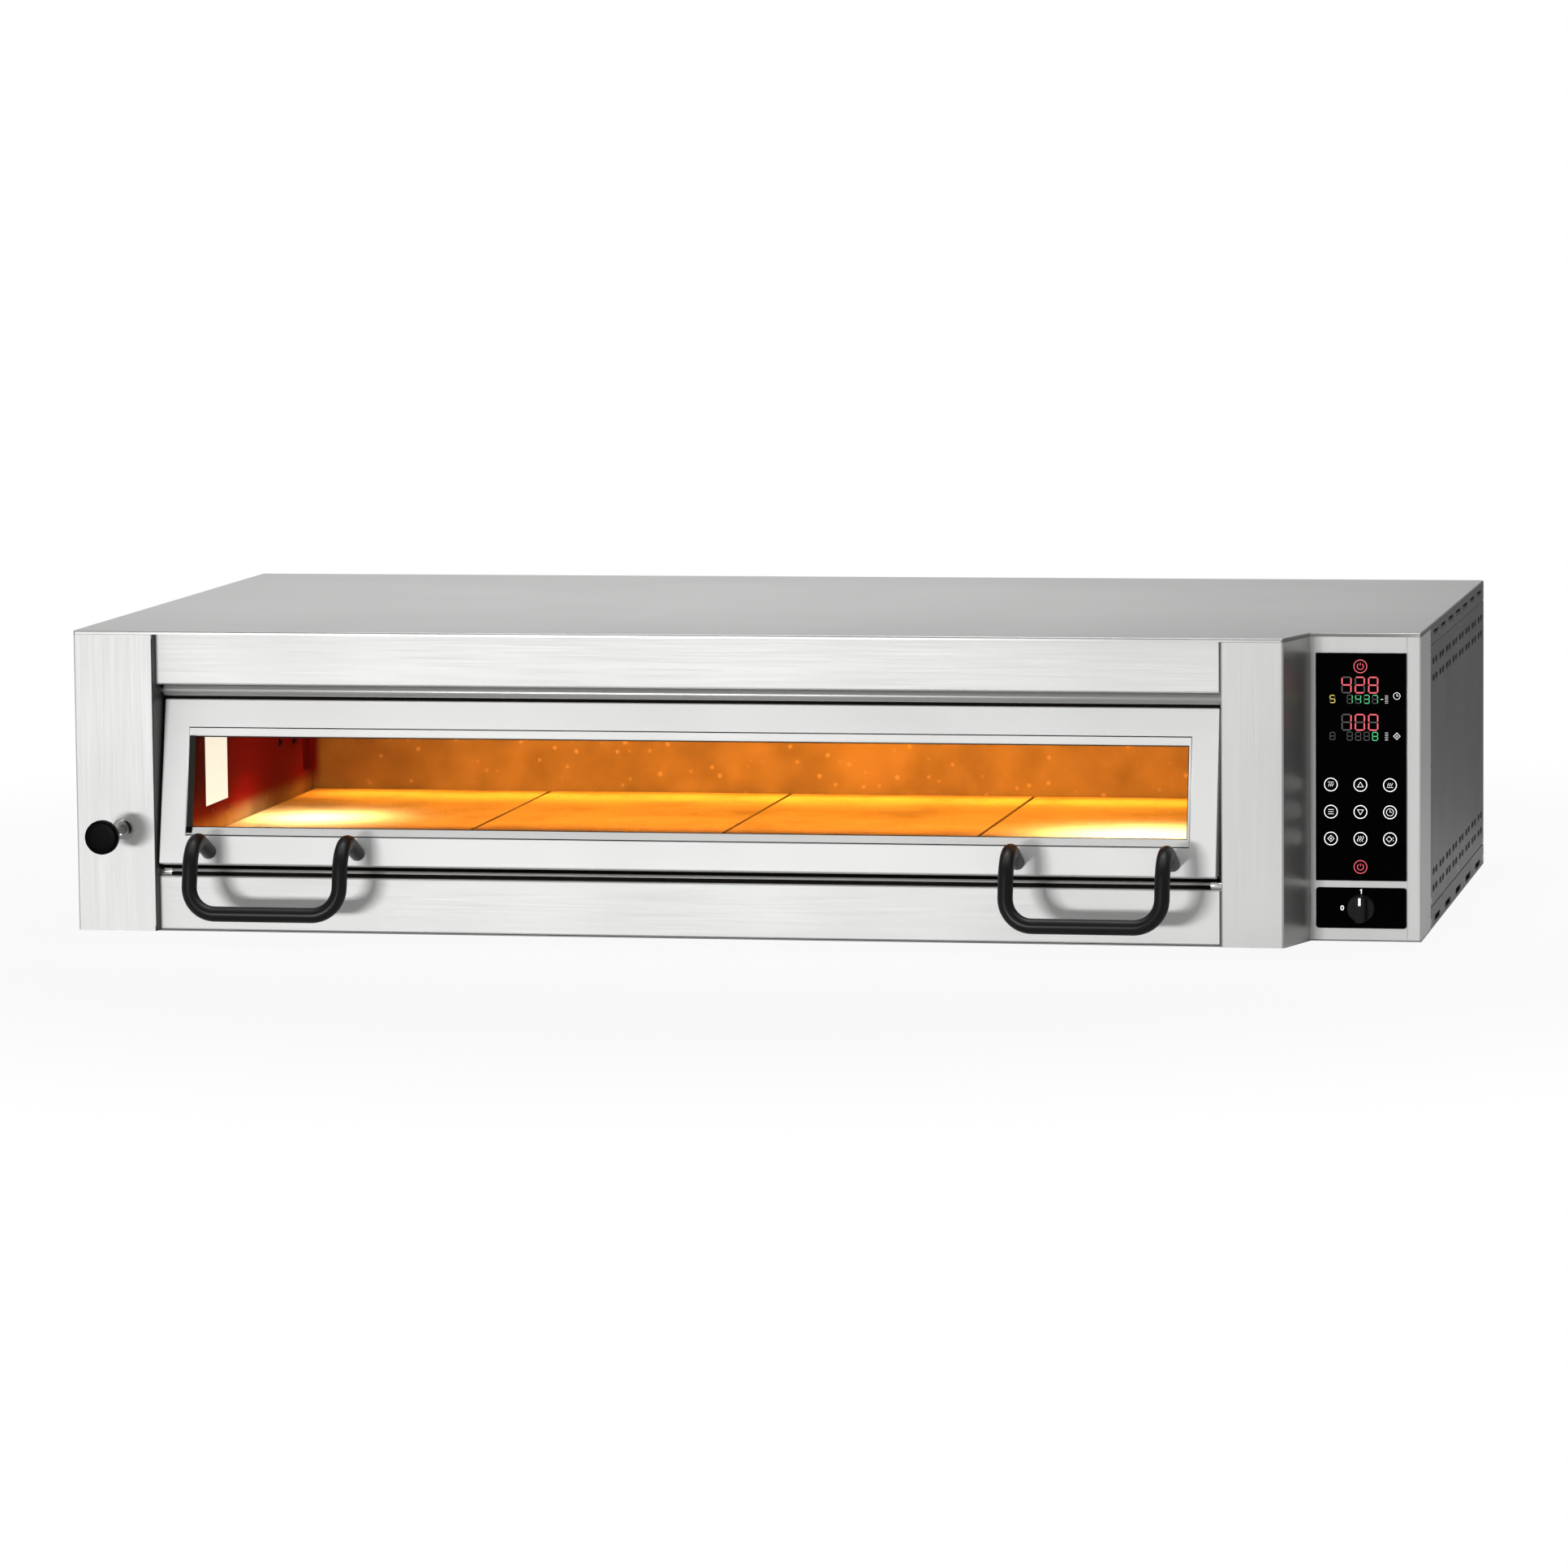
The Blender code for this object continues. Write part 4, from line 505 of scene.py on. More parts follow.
def soft_lamp(name, place, aim, size, watts, tone=(1, 1, 1), spread=180):
    """A rectangular lamp that shines along a direction, within a spread in degrees, and isn't seen itself."""
    data = bpy.data.lights.new(name, "AREA")
    data.shape = "RECTANGLE"
    data.size, data.size_y = size
    data.energy = watts
    data.color = tone
    data.spread = math.radians(spread)
    lamp = bpy.data.objects.new(name, data)
    lamp.location = place
    lamp.rotation_euler = Vector(aim).to_track_quat("-Z", "Y").to_euler()
    lamp.visible_camera = False
    lamp.visible_transmission = False
    bpy.context.scene.collection.objects.link(lamp)
    return lamp


# Finishes

def colour(name):
    """A colour from the settings."""
    return tuple(getattr(bpy.context.scene.oven_colours, name))


def scaled(tone, factor):
    """A tone made lighter or darker, kept within 0 and 1."""
    return tuple(min(1.0, channel * factor) for channel in tone)


def add_node(tree, kind, inputs=None, stops=(), **settings):
    """Adds one node: its settings, inputs (values, sockets or nodes' first outputs) and a ramp's stops."""
    made = tree.nodes.new(f"ShaderNode{kind}")
    for key, value in settings.items():
        setattr(made, key, value)
    for key, value in (inputs or {}).items():
        if isinstance(value, bpy.types.Node):
            value = value.outputs[0]
        if isinstance(value, bpy.types.NodeSocket):
            tree.links.new(value, made.inputs[key])
        else:
            made.inputs[key].default_value = value
    for i, (position, tone) in enumerate(stops):
        ramp = made.color_ramp.elements
        element = ramp[i] if i < len(ramp) else ramp.new(1.0)
        element.position = position
        element.color = (*tone, 1.0)
    return made


def new_finish(name, **sockets):
    """A material with one Principled shader and its constants; gives its tree, shader and place as well."""
    material = bpy.data.materials.new(name)
    material.use_nodes = True
    tree = material.node_tree
    shader = tree.nodes["Principled BSDF"]
    for key, value in sockets.items():
        shader.inputs[key.replace("_", " ")].default_value = value
    return material, tree, shader, add_node(tree, "TexCoord").outputs["Object"]


def feed(tree, shader, **sources):
    """Links sockets, or nodes' first outputs, to the shader's sockets of those names."""
    for key, source in sources.items():
        socket = source.outputs[0] if isinstance(source, bpy.types.Node) else source
        tree.links.new(socket, shader.inputs[key.replace("_", " ")])


def grained(
    name, tone, grain, shades, octaves=0.0, twist=0.0, cells=None, blur=None, bump=None, skin_grain=None,
    into=("Base_Color",), **sockets
):
    """A finish led by one pattern with a grain in mm: noise, or cells where a distance measure is given.

    The pattern picks a shade of the tone, in stops of position and factor. Where blur is given it sets the
    roughness between two values. Bump is a strength and a depth in mm, and follows the pattern or, where a
    finer skin has a grain and octaves of its own, that skin.
    """
    material, tree, shader, place = new_finish(name, **sockets)
    inputs = {"Vector": place, "Scale": 1 / (grain * MM)}
    if cells:
        pattern = add_node(tree, "TexVoronoi", inputs, distance=cells)
    else:
        pattern = add_node(tree, "TexNoise", {**inputs, "Detail": octaves, "Distortion": twist})
    stops = [(position, scaled(colour(tone), factor)) for position, factor in shades]
    feed(tree, shader, **dict.fromkeys(into, add_node(tree, "ValToRGB", {0: pattern}, stops)))
    if blur:
        rough = {"Value": pattern, "To Min": blur[0], "To Max": blur[1]}
        feed(tree, shader, Roughness=add_node(tree, "MapRange", rough))
    if skin_grain:
        fine = {"Vector": place, "Scale": 1 / (skin_grain[0] * MM), "Detail": skin_grain[1]}
        pattern = add_node(tree, "TexNoise", fine)
    if bump:
        relief = {"Height": pattern, "Strength": bump[0], "Distance": bump[1] * MM}
        feed(tree, shader, Normal=add_node(tree, "Bump", relief))
    return material


def brushed(name, tone, along, rough=0.52, metal=0.45):
    """A finish of fine scratches along one axis, whose tone drifts over a hand's width.

    The scratches are some 0.1 mm wide and are drawn 0.9 mm wide so that they show.
    """
    scratch_width, scratch_length, drift_size = 0.9 * MM, 160 * MM, 220 * MM
    material, tree, shader, place = new_finish(name, Metallic=metal)
    scratch = [1 / scratch_width] * 3
    scratch["XYZ".index(along)] = 1 / scratch_length
    stretch = add_node(tree, "Mapping", {"Vector": place, "Scale": scratch})
    grain = add_node(tree, "TexNoise", {"Vector": stretch, "Scale": 1.0, "Detail": 3.0})
    drift = add_node(tree, "TexNoise", {"Vector": place, "Scale": 1 / drift_size, "Detail": 1.0})
    both = add_node(tree, "Math", {0: grain, 1: 0.25, 2: drift}, operation="MULTIPLY_ADD")
    stops = [(0.42, scaled(colour(tone), 0.965)), (0.82, scaled(colour(tone), 1.035))]
    blur = {"Value": grain, "From Min": 0.3, "From Max": 0.7, "To Min": rough - 0.04, "To Max": rough + 0.04}
    relief = {"Height": grain, "Strength": 0.06, "Distance": 0.05 * MM}
    feed(
        tree, shader, Base_Color=add_node(tree, "ValToRGB", {0: both}, stops),
        Roughness=add_node(tree, "MapRange", blur), Normal=add_node(tree, "Bump", relief),
    )
    return material


def hot_sheet(name, tone, wall_shade):
    """A dull finish, straw to brown by heat, with pale spatter flecks.

    The left wall is painted a dark red-brown that stands for the dim lamp light on it, painted shade, from
    about 3 cm above the hearth upwards, and it thins out over the first 24 cm of the back.
    """
    # Along X from the left wall to where the painted shade's ramp ends, and up from the hearth to full painted
    # shade
    wall, ramp_end = -0.770, -0.30
    hearth, sooted = 0.105, 0.138
    cloud_size, fleck_pitch = 70 * MM, 22 * MM
    base = colour(tone)
    material, tree, shader, place = new_finish(name, Roughness=0.7, Specular_IOR_Level=0.02)
    axes = add_node(tree, "SeparateXYZ", {0: place}).outputs
    cloud = add_node(tree, "TexNoise", {"Vector": place, "Scale": 1 / cloud_size, "Detail": 6.0})
    fleck = add_node(tree, "TexVoronoi", {"Vector": place, "Scale": 1 / fleck_pitch})
    tinted = add_node(tree, "ValToRGB", {0: cloud}, [(0.32, scaled(base, 0.74)), (0.68, scaled(base, 1.16))])
    near = {"Value": fleck, "From Min": 0.08, "From Max": 0.19, "To Min": 0.6, "To Max": 0.0}
    spot = add_node(tree, "MapRange", near)
    pale = (*scaled(base, 2.2), 1.0)
    flecked = add_node(tree, "Mix", {"Factor": spot, 6: tinted, 7: pale}, data_type="RGBA").outputs[2]
    across = add_node(tree, "MapRange", {"Value": axes["X"], "From Min": wall, "From Max": ramp_end})
    reach = add_node(tree, "ValToRGB", {0: across}, [(0.01, (1,) * 3), (0.03, (0.25,) * 3), (0.5, (0,) * 3)])
    rise = {"Value": axes["Z"], "From Min": hearth, "From Max": sooted, "To Min": 0.2, "To Max": 1.0}
    height = add_node(tree, "MapRange", rise, interpolation_type="SMOOTHSTEP")
    wall_shade_mask = add_node(tree, "Math", {0: reach, 1: height}, operation="MULTIPLY")
    dark = (*colour(wall_shade), 1.0)
    mixed = add_node(tree, "Mix", {"Factor": wall_shade_mask, 6: flecked, 7: dark}, data_type="RGBA").outputs[2]
    bump = add_node(tree, "Bump", {"Height": cloud, "Strength": 0.2, "Distance": 0.4 * MM})
    feed(tree, shader, Base_Color=mixed, Normal=bump)
    return material


def refractory(name, tone):
    """A gritty finish whose broad toasted patches and fine open pores darken each other."""
    patch, pore = 110 * MM, 2.2 * MM
    base = colour(tone)
    material, tree, shader, place = new_finish(name, Roughness=0.9)
    toast = add_node(tree, "TexNoise", {"Vector": place, "Scale": 1 / patch, "Detail": 5.0})
    grit = add_node(tree, "TexNoise", {"Vector": place, "Scale": 1 / pore, "Detail": 4.0})
    both = add_node(tree, "Math", {0: toast, 1: grit, 2: 0.12}, operation="MULTIPLY_ADD")
    stops = [(0.25, scaled(base, 0.62)), (0.40, base), (0.55, scaled(base, 1.12))]
    bump = add_node(tree, "Bump", {"Height": grit, "Strength": 0.5, "Distance": 0.5 * MM})
    feed(tree, shader, Base_Color=add_node(tree, "ValToRGB", {0: both}, stops), Normal=bump)
    return material


BUFFED = dict(grain=12, octaves=4.0, shades=((0.3, 0.94), (0.7, 1.0)), blur=(0.06, 0.22), Metallic=1.0)
MOULDED = dict(
    grain=0.7, octaves=2.0, shades=((0.3, 0.9), (0.7, 1.15)), bump=(0.2, 0.08), Specular_IOR_Level=0.03
)
FIBROUS = dict(octaves=6.0, twist=2.5, shades=((0.3, 0.6), (0.7, 1.1)), Roughness=0.95)
LIT = dict(
    grain=2.5, octaves=1.0, shades=((0.3, 0.92), (0.7, 1.0)), into=("Emission_Color",),
    Base_Color=BLACK, Roughness=0.3, Emission_Strength=1.0,
)
PRINTED = dict(
    grain=1.5, octaves=2.0, shades=((0.3, 0.93), (0.7, 1.0)), into=("Base_Color", "Emission_Color"),
    Roughness=0.5,
)
RECIPES = {
    # Stainless sheet, belt-brushed: a soft sheen blurred by fine scratches
    "brushed_stainless_x": partial(brushed, tone="steel", along="X"),
    "brushed_stainless_y": partial(brushed, tone="steel", along="Y"),
    "brushed_stainless_z": partial(brushed, tone="steel", along="Z"),
    # The door's copy is painted light: brighter, for the light the leaning door misses
    "brushed_stainless_door": partial(brushed, tone="door", along="X"),
    # The control end's copy is painted shade: darker, for the dimmer light there
    "brushed_stainless_control": partial(brushed, tone="control", along="Z"),
    # The lips' copy is painted shade: darker, for the shade on the oven's sides
    "brushed_stainless_lip": partial(brushed, tone="lip", along="Y", rough=0.42),
    # Stainless sheet as rolled, and bright: smoother, each in a grey of its own that paints shade: the roof darker
    # than the front for its dimmer light, the columns' returns dark for the shade in them, and the chamfer darker
    # than its column for part of its dark reflection
    "rolled_stainless": partial(brushed, tone="roof", along="X", rough=0.34),
    "mill_stainless": partial(brushed, tone="return_shade", along="Z", rough=0.45),
    "bright_stainless": partial(brushed, tone="chamfer", along="Z", rough=0.33, metal=0.8),
    # Steel trim, tube and bar with drawing marks along them: a long soft highlight
    "satin_trim_steel": partial(brushed, tone="bright", along="X", rough=0.55),
    "drawn_tube_steel": partial(brushed, tone="tube", along="X", rough=0.30),
    "drawn_bar_steel": partial(brushed, tone="rod", along="X", rough=0.45),
    # Drawn and buffed steel: nearly a mirror, with faint marks and smears
    "polished_steel": partial(grained, tone="bright", **BUFFED),
    "drawn_rod_steel": partial(grained, tone="rod", **BUFFED),
    # Zinc-coated sheet under a satin grey coat: even and dull, with the faintest orange peel
    "satin_grey_sheet": partial(
        grained, tone="grey", grain=140, octaves=2.0, shades=((0.3, 0.92), (0.7, 1.06)),
        skin_grain=(1.2, 2.0), bump=(0.15, 0.05), Metallic=0.35, Roughness=0.48,
    ),
    # Black powder coat on steel tube: a fine pebbled skin with grey flecks where grains stand proud
    "black_powder_coat": partial(
        grained, tone="coat", grain=3.2, cells="EUCLIDEAN", shades=((0.05, 14.887), (0.10, 1.3), (0.6, 1.0)),
        skin_grain=(1.1, 3.0), bump=(0.35, 0.15), Roughness=0.34, Specular_IOR_Level=0.25,
    ),
    # Injection-moulded plastic and rubber: an even colour with the spark-eroded grain of the mould
    "black_moulded_plastic": partial(grained, tone="plastic", blur=(0.30, 0.46), **MOULDED),
    "charcoal_moulded_plastic": partial(grained, tone="charcoal", blur=(0.30, 0.46), **MOULDED),
    "pale_moulded_plastic": partial(grained, tone="pale", blur=(0.37, 0.53), **MOULDED),
    # The grey rubber also paints the dark reflection down the pane's left edge and the shade in the bezel's joints
    "grey_rubber": partial(grained, tone="gasket", blur=(0.37, 0.53), **MOULDED),
    # Tempered heat-proof glass, coated against glare: clear, hardly a reflection, a trace of baked-on haze
    "heat_proof_glass": partial(
        grained, tone="glass", grain=90, octaves=3.0, shades=((0.35, 1.0), (0.75, 0.94)), blur=(0.0, 0.02),
        IOR=1.45, Transmission_Weight=1.0, Specular_Tint=(0.05, 0.05, 0.05, 1.0),
    ),
    # Float glass printed black on its back: deep black, glossy, faintly smeared by fingers
    "back_printed_glass": partial(
        grained, tone="panel", grain=25, octaves=4.0, shades=((0.4, 1.0), (0.8, 1.8)), blur=(0.03, 0.07),
        IOR=1.52, Specular_IOR_Level=0.01,
    ),
    # Aluminised steel sheet after many firings, painted with shade on the left wall; and the same burnt dark at
    # the mouth and inside the door, where it is painted shade that keeps the gaps round the door black, and under
    # the sill bar, painted shade too
    # The chamber's sheet carries painted shade on the left wall
    "heat_tinted_aluminised_steel": partial(hot_sheet, tone="chamber", wall_shade="wall_shade"),
    "heat_blackened_steel": partial(hot_sheet, tone="burnt", wall_shade="burnt"),
    # Pressed and fired refractory stone: pale and gritty, with open pores and toasted patches
    "fired_refractory_stone": partial(refractory, tone="stone"),
    # Nickel-alloy sheath, swaged smooth and then oxidised: a mottled brown-grey. On the hearth stones' ends it is
    # painted shade that darkens their joints
    "oxidised_element_sheath": partial(
        grained, tone="sheath", grain=9, octaves=5.0, shades=((0.3, 0.6), (0.7, 1.5)),
        Metallic=0.7, Roughness=0.5,
    ),
    # Braided glass fibre and spun mineral wool: dull and soft, with strands that cross at all angles
    "braided_glass_fibre": partial(grained, tone="rope", grain=1.6, bump=(0.7, 1.6), **FIBROUS),
    "spun_mineral_wool": partial(grained, tone="wool", grain=3, bump=(0.7, 3), **FIBROUS),
    # Glass-epoxy board under green lacquer: glossy, with the darker net of its copper tracks
    "lacquered_circuit_board": partial(
        grained, tone="board", grain=6, cells="CHEBYCHEV", shades=((0.4, 1.0), (0.5, 0.6)), Roughness=0.3
    ),
    # Lit diffusers behind glass: an even glow, a touch brighter in the middle of each grain
    "lit_lamp_glass": partial(grained, tone="lamp", **LIT),
    "red_lit": partial(grained, tone="red", **LIT),
    "green_lit": partial(grained, tone="green", **LIT),
    "yellow_lit": partial(grained, tone="yellow", **LIT),
    # Screen-printed ink: flat and matt, its film a little uneven. The control glass's ink is lit from behind; the
    # dark segments and the white print on the switch plate and its pointer glow as well, a painted glow
    "ink_print": partial(grained, tone="ink", Emission_Strength=1.0, **PRINTED),
    # The dark segments' glow is painted light
    "unlit_print": partial(grained, tone="unlit", Emission_Strength=0.55, **PRINTED),
    # The white print's glow on the switch plate and pointer is painted light
    "white_print": partial(grained, tone="ink", Emission_Strength=0.8, **PRINTED),
}


@cache
def finish(name):
    """The material of a name, made from its recipe when it is first asked for."""
    return RECIPES[name](name)


# Stage

def bare_tree(owner):
    """The emptied node tree of a material or world."""
    owner.use_nodes = True
    owner.node_tree.nodes.clear()
    return owner.node_tree


def backdrop(name, corners, material):
    """A flat piece of the stage with four corners."""
    mesh = bpy.data.meshes.new(name)
    mesh.from_pydata(corners, [], [(0, 1, 2, 3)])
    mesh.materials.append(material)
    piece = bpy.data.objects.new(name, mesh)
    bpy.context.scene.collection.objects.link(piece)
    return piece


class OVEN_OT_stage(bpy.types.Operator):
    """Camera, soft lamps, white surroundings and a pale floor that keeps the oven's shadow"""

    bl_idname = "oven.stage"
    bl_label = "Stage"
    # Lamps: name and setting of the power, place, aim, width and height, spread in degrees
    lamps = (
        ("key", (-1.7, -7.2, 0.18), (1.6, 6.7, 0), (1.3, 0.34), 180),
        ("rear", (2.0, 6.0, 2.2), (-2.0, -5.6, -2.0), (3.0, 1.6), 180),
        ("overhead", (0, 0.15, 2.4), (0, 0, -1), (1.9, 0.8), 60),
    )
    # Cards: name, four corners, brightness at the left and at the right
    cards = (
        ("side_flag", ((0.9, 0.75, 0), (4.0, 2.4, 0), (4.0, 2.4, 1.6), (0.9, 0.75, 1.6)), 0.10, 0.10),
        ("rear_card", ((-5, 3, 0.1), (5, 3, 0.1), (5, 3, 3), (-5, 3, 3)), 0.92, 0.62),
        ("sky_card", ((-3, -2.4, 4), (3, -2.4, 4), (3, 1.2, 4), (-3, 1.2, 4)), 2.0, 2.0),
    )
    card_left, card_right = -1.6, 0.6
    gloss = 0.25
    floor_reach, floor_drop = 80.0, 0.2 * MM
    # Share of white in the floor: the first within the near radius, the second beyond the far one
    floor_near, floor_far, white_near, white_far = 1.1, 2.2, 0.92, 1.0

    def execute(self, context):
        stage = context.scene.oven_stage
        context.scene.view_settings.view_transform = "Standard"
        self.camera(context, stage)
        for name, place, aim, size, spread in self.lamps:
            lamp = soft_lamp(f"{name}_lamp", place, aim, size, getattr(stage, name), spread=spread)
            lamp.visible_glossy = name != "rear"
        for card in self.cards:
            self.card(*card)
        self.surroundings(context, stage)
        self.floor(stage)
        return {"FINISHED"}

    def camera(self, context, stage):
        """Looks along +Y turned left by the yaw and down by the pitch, then rolled about that line."""
        level = Vector((math.cos(stage.yaw), math.sin(stage.yaw), 0))
        ahead = Vector((-math.sin(stage.yaw), math.cos(stage.yaw), -math.tan(stage.pitch))).normalized()
        above = level.cross(ahead)
        right = math.cos(stage.roll) * level + math.sin(stage.roll) * above
        up = math.cos(stage.roll) * above - math.sin(stage.roll) * level
        data = bpy.data.cameras.new("camera")
        data.sensor_width = 36
        data.lens = stage.lens
        camera = bpy.data.objects.new("camera", data)
        turn = Matrix((right, up, -ahead)).transposed().to_4x4()
        camera.matrix_world = Matrix.Translation(stage.place) @ turn
        context.scene.collection.objects.link(camera)
        context.scene.camera = camera

    def card(self, name, corners, left, right):
        """A card that only shows in gloss, graded from left to right, to shade the faces that mirror it."""
        material = bpy.data.materials.new(f"{name}_cloth")
        tree = bare_tree(material)
        place = add_node(tree, "TexCoord").outputs["Object"]
        across = add_node(tree, "SeparateXYZ", {0: place}).outputs["X"]
        ends = {"From Min": self.card_left, "From Max": self.card_right, "To Min": left, "To Max": right}
        grade = add_node(tree, "MapRange", {"Value": across, **ends})
        add_node(tree, "OutputMaterial", {"Surface": add_node(tree, "Emission", {"Strength": grade})})
        card = backdrop(name, corners, material)
        for ray in ("camera", "diffuse", "transmission", "volume_scatter", "shadow"):
            setattr(card, f"visible_{ray}", False)

    def seen(self, tree):
        """1 for rays that show the background, from the camera and through glass, and a quarter off gloss."""
        path = add_node(tree, "LightPath").outputs
        gloss = add_node(tree, "Math", {0: path["Is Glossy Ray"], 1: self.gloss}, operation="MULTIPLY")
        sight = {0: path["Is Camera Ray"], 1: path["Is Transmission Ray"]}
        direct = add_node(tree, "Math", sight, operation="MAXIMUM")
        return add_node(tree, "Math", {0: gloss, 1: direct}, operation="MAXIMUM")

    def surroundings(self, context, stage):
        """White where it is seen, dimmer where it only lights."""
        world = bpy.data.worlds.new("studio")
        context.scene.world = world
        tree = bare_tree(world)
        light = add_node(tree, "Background", {"Color": WHITE, "Strength": stage.ambient})
        white = add_node(tree, "Background", {"Color": WHITE, "Strength": 1.0})
        mixed = add_node(tree, "MixShader", {0: self.seen(tree), 1: light, 2: white})
        add_node(tree, "OutputWorld", {"Surface": mixed})

    def floor(self, stage):
        """A wide floor, nearly white where it is seen and all white further out, so only the shadow shows."""
        material = bpy.data.materials.new("pale_studio_floor")
        tree = bare_tree(material)
        place = add_node(tree, "TexCoord").outputs["Object"]
        away = add_node(tree, "VectorMath", {0: place}, operation="LENGTH").outputs["Value"]
        near = {"From Min": self.floor_near, "To Min": self.white_near}
        far = {"From Max": self.floor_far, "To Max": self.white_far}
        fade = add_node(tree, "MapRange", {"Value": away, **near, **far}, interpolation_type="SMOOTHSTEP")
        share = add_node(tree, "Math", {0: fade, 1: self.seen(tree)}, operation="MULTIPLY")
        matt = add_node(tree, "BsdfDiffuse", {"Color": (*stage.floor, 1.0)})
        white = add_node(tree, "Emission", {"Color": WHITE, "Strength": 1.0})
        mixed = add_node(tree, "MixShader", {0: share, 1: matt, 2: white})
        add_node(tree, "OutputMaterial", {"Surface": mixed})
        reach, low = self.floor_reach, CAD_BOX[0][2] - self.floor_drop
        corners = [(x * reach, y * reach, low) for x, y in ((-1, -1), (1, -1), (1, 1), (-1, 1))]
        backdrop("floor", corners, material)


# Steps that dress the oven

class OVEN_OT_casing(bpy.types.Operator):
    """Steel sheets of roof, columns and fascias with rounded folds; grey sheets of sides, back and base"""

    bl_idname = "oven.casing"
    bl_label = "Casing"
    chamfer = (0.97, -0.245, 0)
    seam, seam_rise, seam_end = 4.6 * MM, 0.3 * MM, MM

    def execute(self, context):
        bend = context.scene.oven_sizes.bend
        # Painted shade: the roof in a darker grey than the front
        roof = softened("top_cover", "rolled_stainless", bend)
        # Painted shade: the roof's side lips darker still
        second_finish(roof, "brushed_stainless_lip", (1, 0, 0), (-1, 0, 0))
        # Painted shade: the left column's inward return in a dark grey
        left = softened("front_column_left", "brushed_stainless_z", bend)
        second_finish(left, "mill_stainless", (1, 0, 0))
        # Painted shade: the right column and corner post in the darker control-end steel
        right = softened("front_column_right", "brushed_stainless_control", bend)
        # Painted shade: the chamfer in a darker steel than its column
        second_finish(right, "bright_stainless", self.chamfer)
        softened("control_corner_post", "brushed_stainless_control", bend)
        fascias = "upper_fascia", "lower_fascia"
        for node in fascias:
            softened(node, "brushed_stainless_x", bend)
        dress("satin_grey_sheet", "side_panel_left", "side_panel_right", "back_panel", "base_pan")
        for node in fascias:
            self.bead(node)
        return {"FINISHED"}

    def bead(self, node):
        """A flat dark grey bead where a fascia meets the right column: painted shade of the gap between them."""
        low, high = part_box(node)
        x = high.x - self.seam / 2
        bead = stroke([(x, low.z + self.seam_end), (x, high.z - self.seam_end)], self.seam, self.seam_rise)
        detail(f"{node}_seam", on_front(bead, (0, low.y, 0)), "mill_stainless", node)


class OVEN_OT_door(bpy.types.Operator):
    """Door frame with rounded folds, its bezel, pane, liner and seal"""

    bl_idname = "oven.door"
    bl_label = "Door"
    # Depths behind the hinge line and heights from it, in the door's own frame
    face, pane_face = 5.0 * MM, 11.3 * MM
    joints = -49.6 * MM, -192.4 * MM
    sight_top, sight_foot = -60.3 * MM, -181.7 * MM
    stile = 3.0 * MM
    # Width and height of the strips
    bead, bead_rise = 2.4 * MM, 1.2 * MM
    strip, strip_rise, block_rise = 8.0 * MM, 6.0 * MM, 6.5 * MM
    joint, joint_rise = 1.3 * MM, 0.12 * MM

    def execute(self, context):
        sizes = context.scene.oven_sizes
        # Painted light: the leaning frame in a brighter copy of the front's steel
        softened("door_frame", "brushed_stainless_door", sizes.bend / 1.5)
        softened("door_bezel", "satin_trim_steel", sizes.edge)
        dress("heat_proof_glass", "door_glass")
        # Painted shade: the liner dark so that the gaps round the door show black
        dress("heat_blackened_steel", "door_liner")
        dress("braided_glass_fibre", "door_seal")
        self.pane_seal()
        return {"FINISHED"}

    def pane_seal(self):
        """Bead round the pane; a strip down its left edge, painted reflection of the dark the bezel's left side
        mirrors; a block in its corner; and dark lines on the bezel's two joints, painted shade of the gaps there.
        """
        low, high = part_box("door_bezel")
        left, right = low.x + self.stile, high.x - self.stile
        top, foot = self.sight_top, self.sight_foot
        x = low.x + self.strip / 2
        corners = [(left, foot), (right, foot), (right, top), (left, top)]
        bead = stroke(corners, self.bead, self.bead_rise, True)
        strip = stroke([(x, foot), (x, top)], self.strip, self.strip_rise)
        self.stick("pane_seal", [bead, strip], self.pane_face, "grey_rubber")
        z = foot - self.strip / 2
        block = stroke([(low.x, z), (low.x + self.strip, z)], self.strip, self.block_rise)
        self.stick("pane_corner", [block], self.pane_face, "black_moulded_plastic")
        joints = [stroke([(low.x, z), (high.x, z)], self.joint, self.joint_rise) for z in self.joints]
        self.stick("bezel_joints", joints, self.face, "grey_rubber")

    def stick(self, name, strips, depth, look):
        """Strips drawn on a plane of the closed door at some depth behind its hinge line."""
        points, faces = on_front(merged(strips), (0, depth, 0))
        detail(name, (leaned(points), faces), look, "door_handle_left")


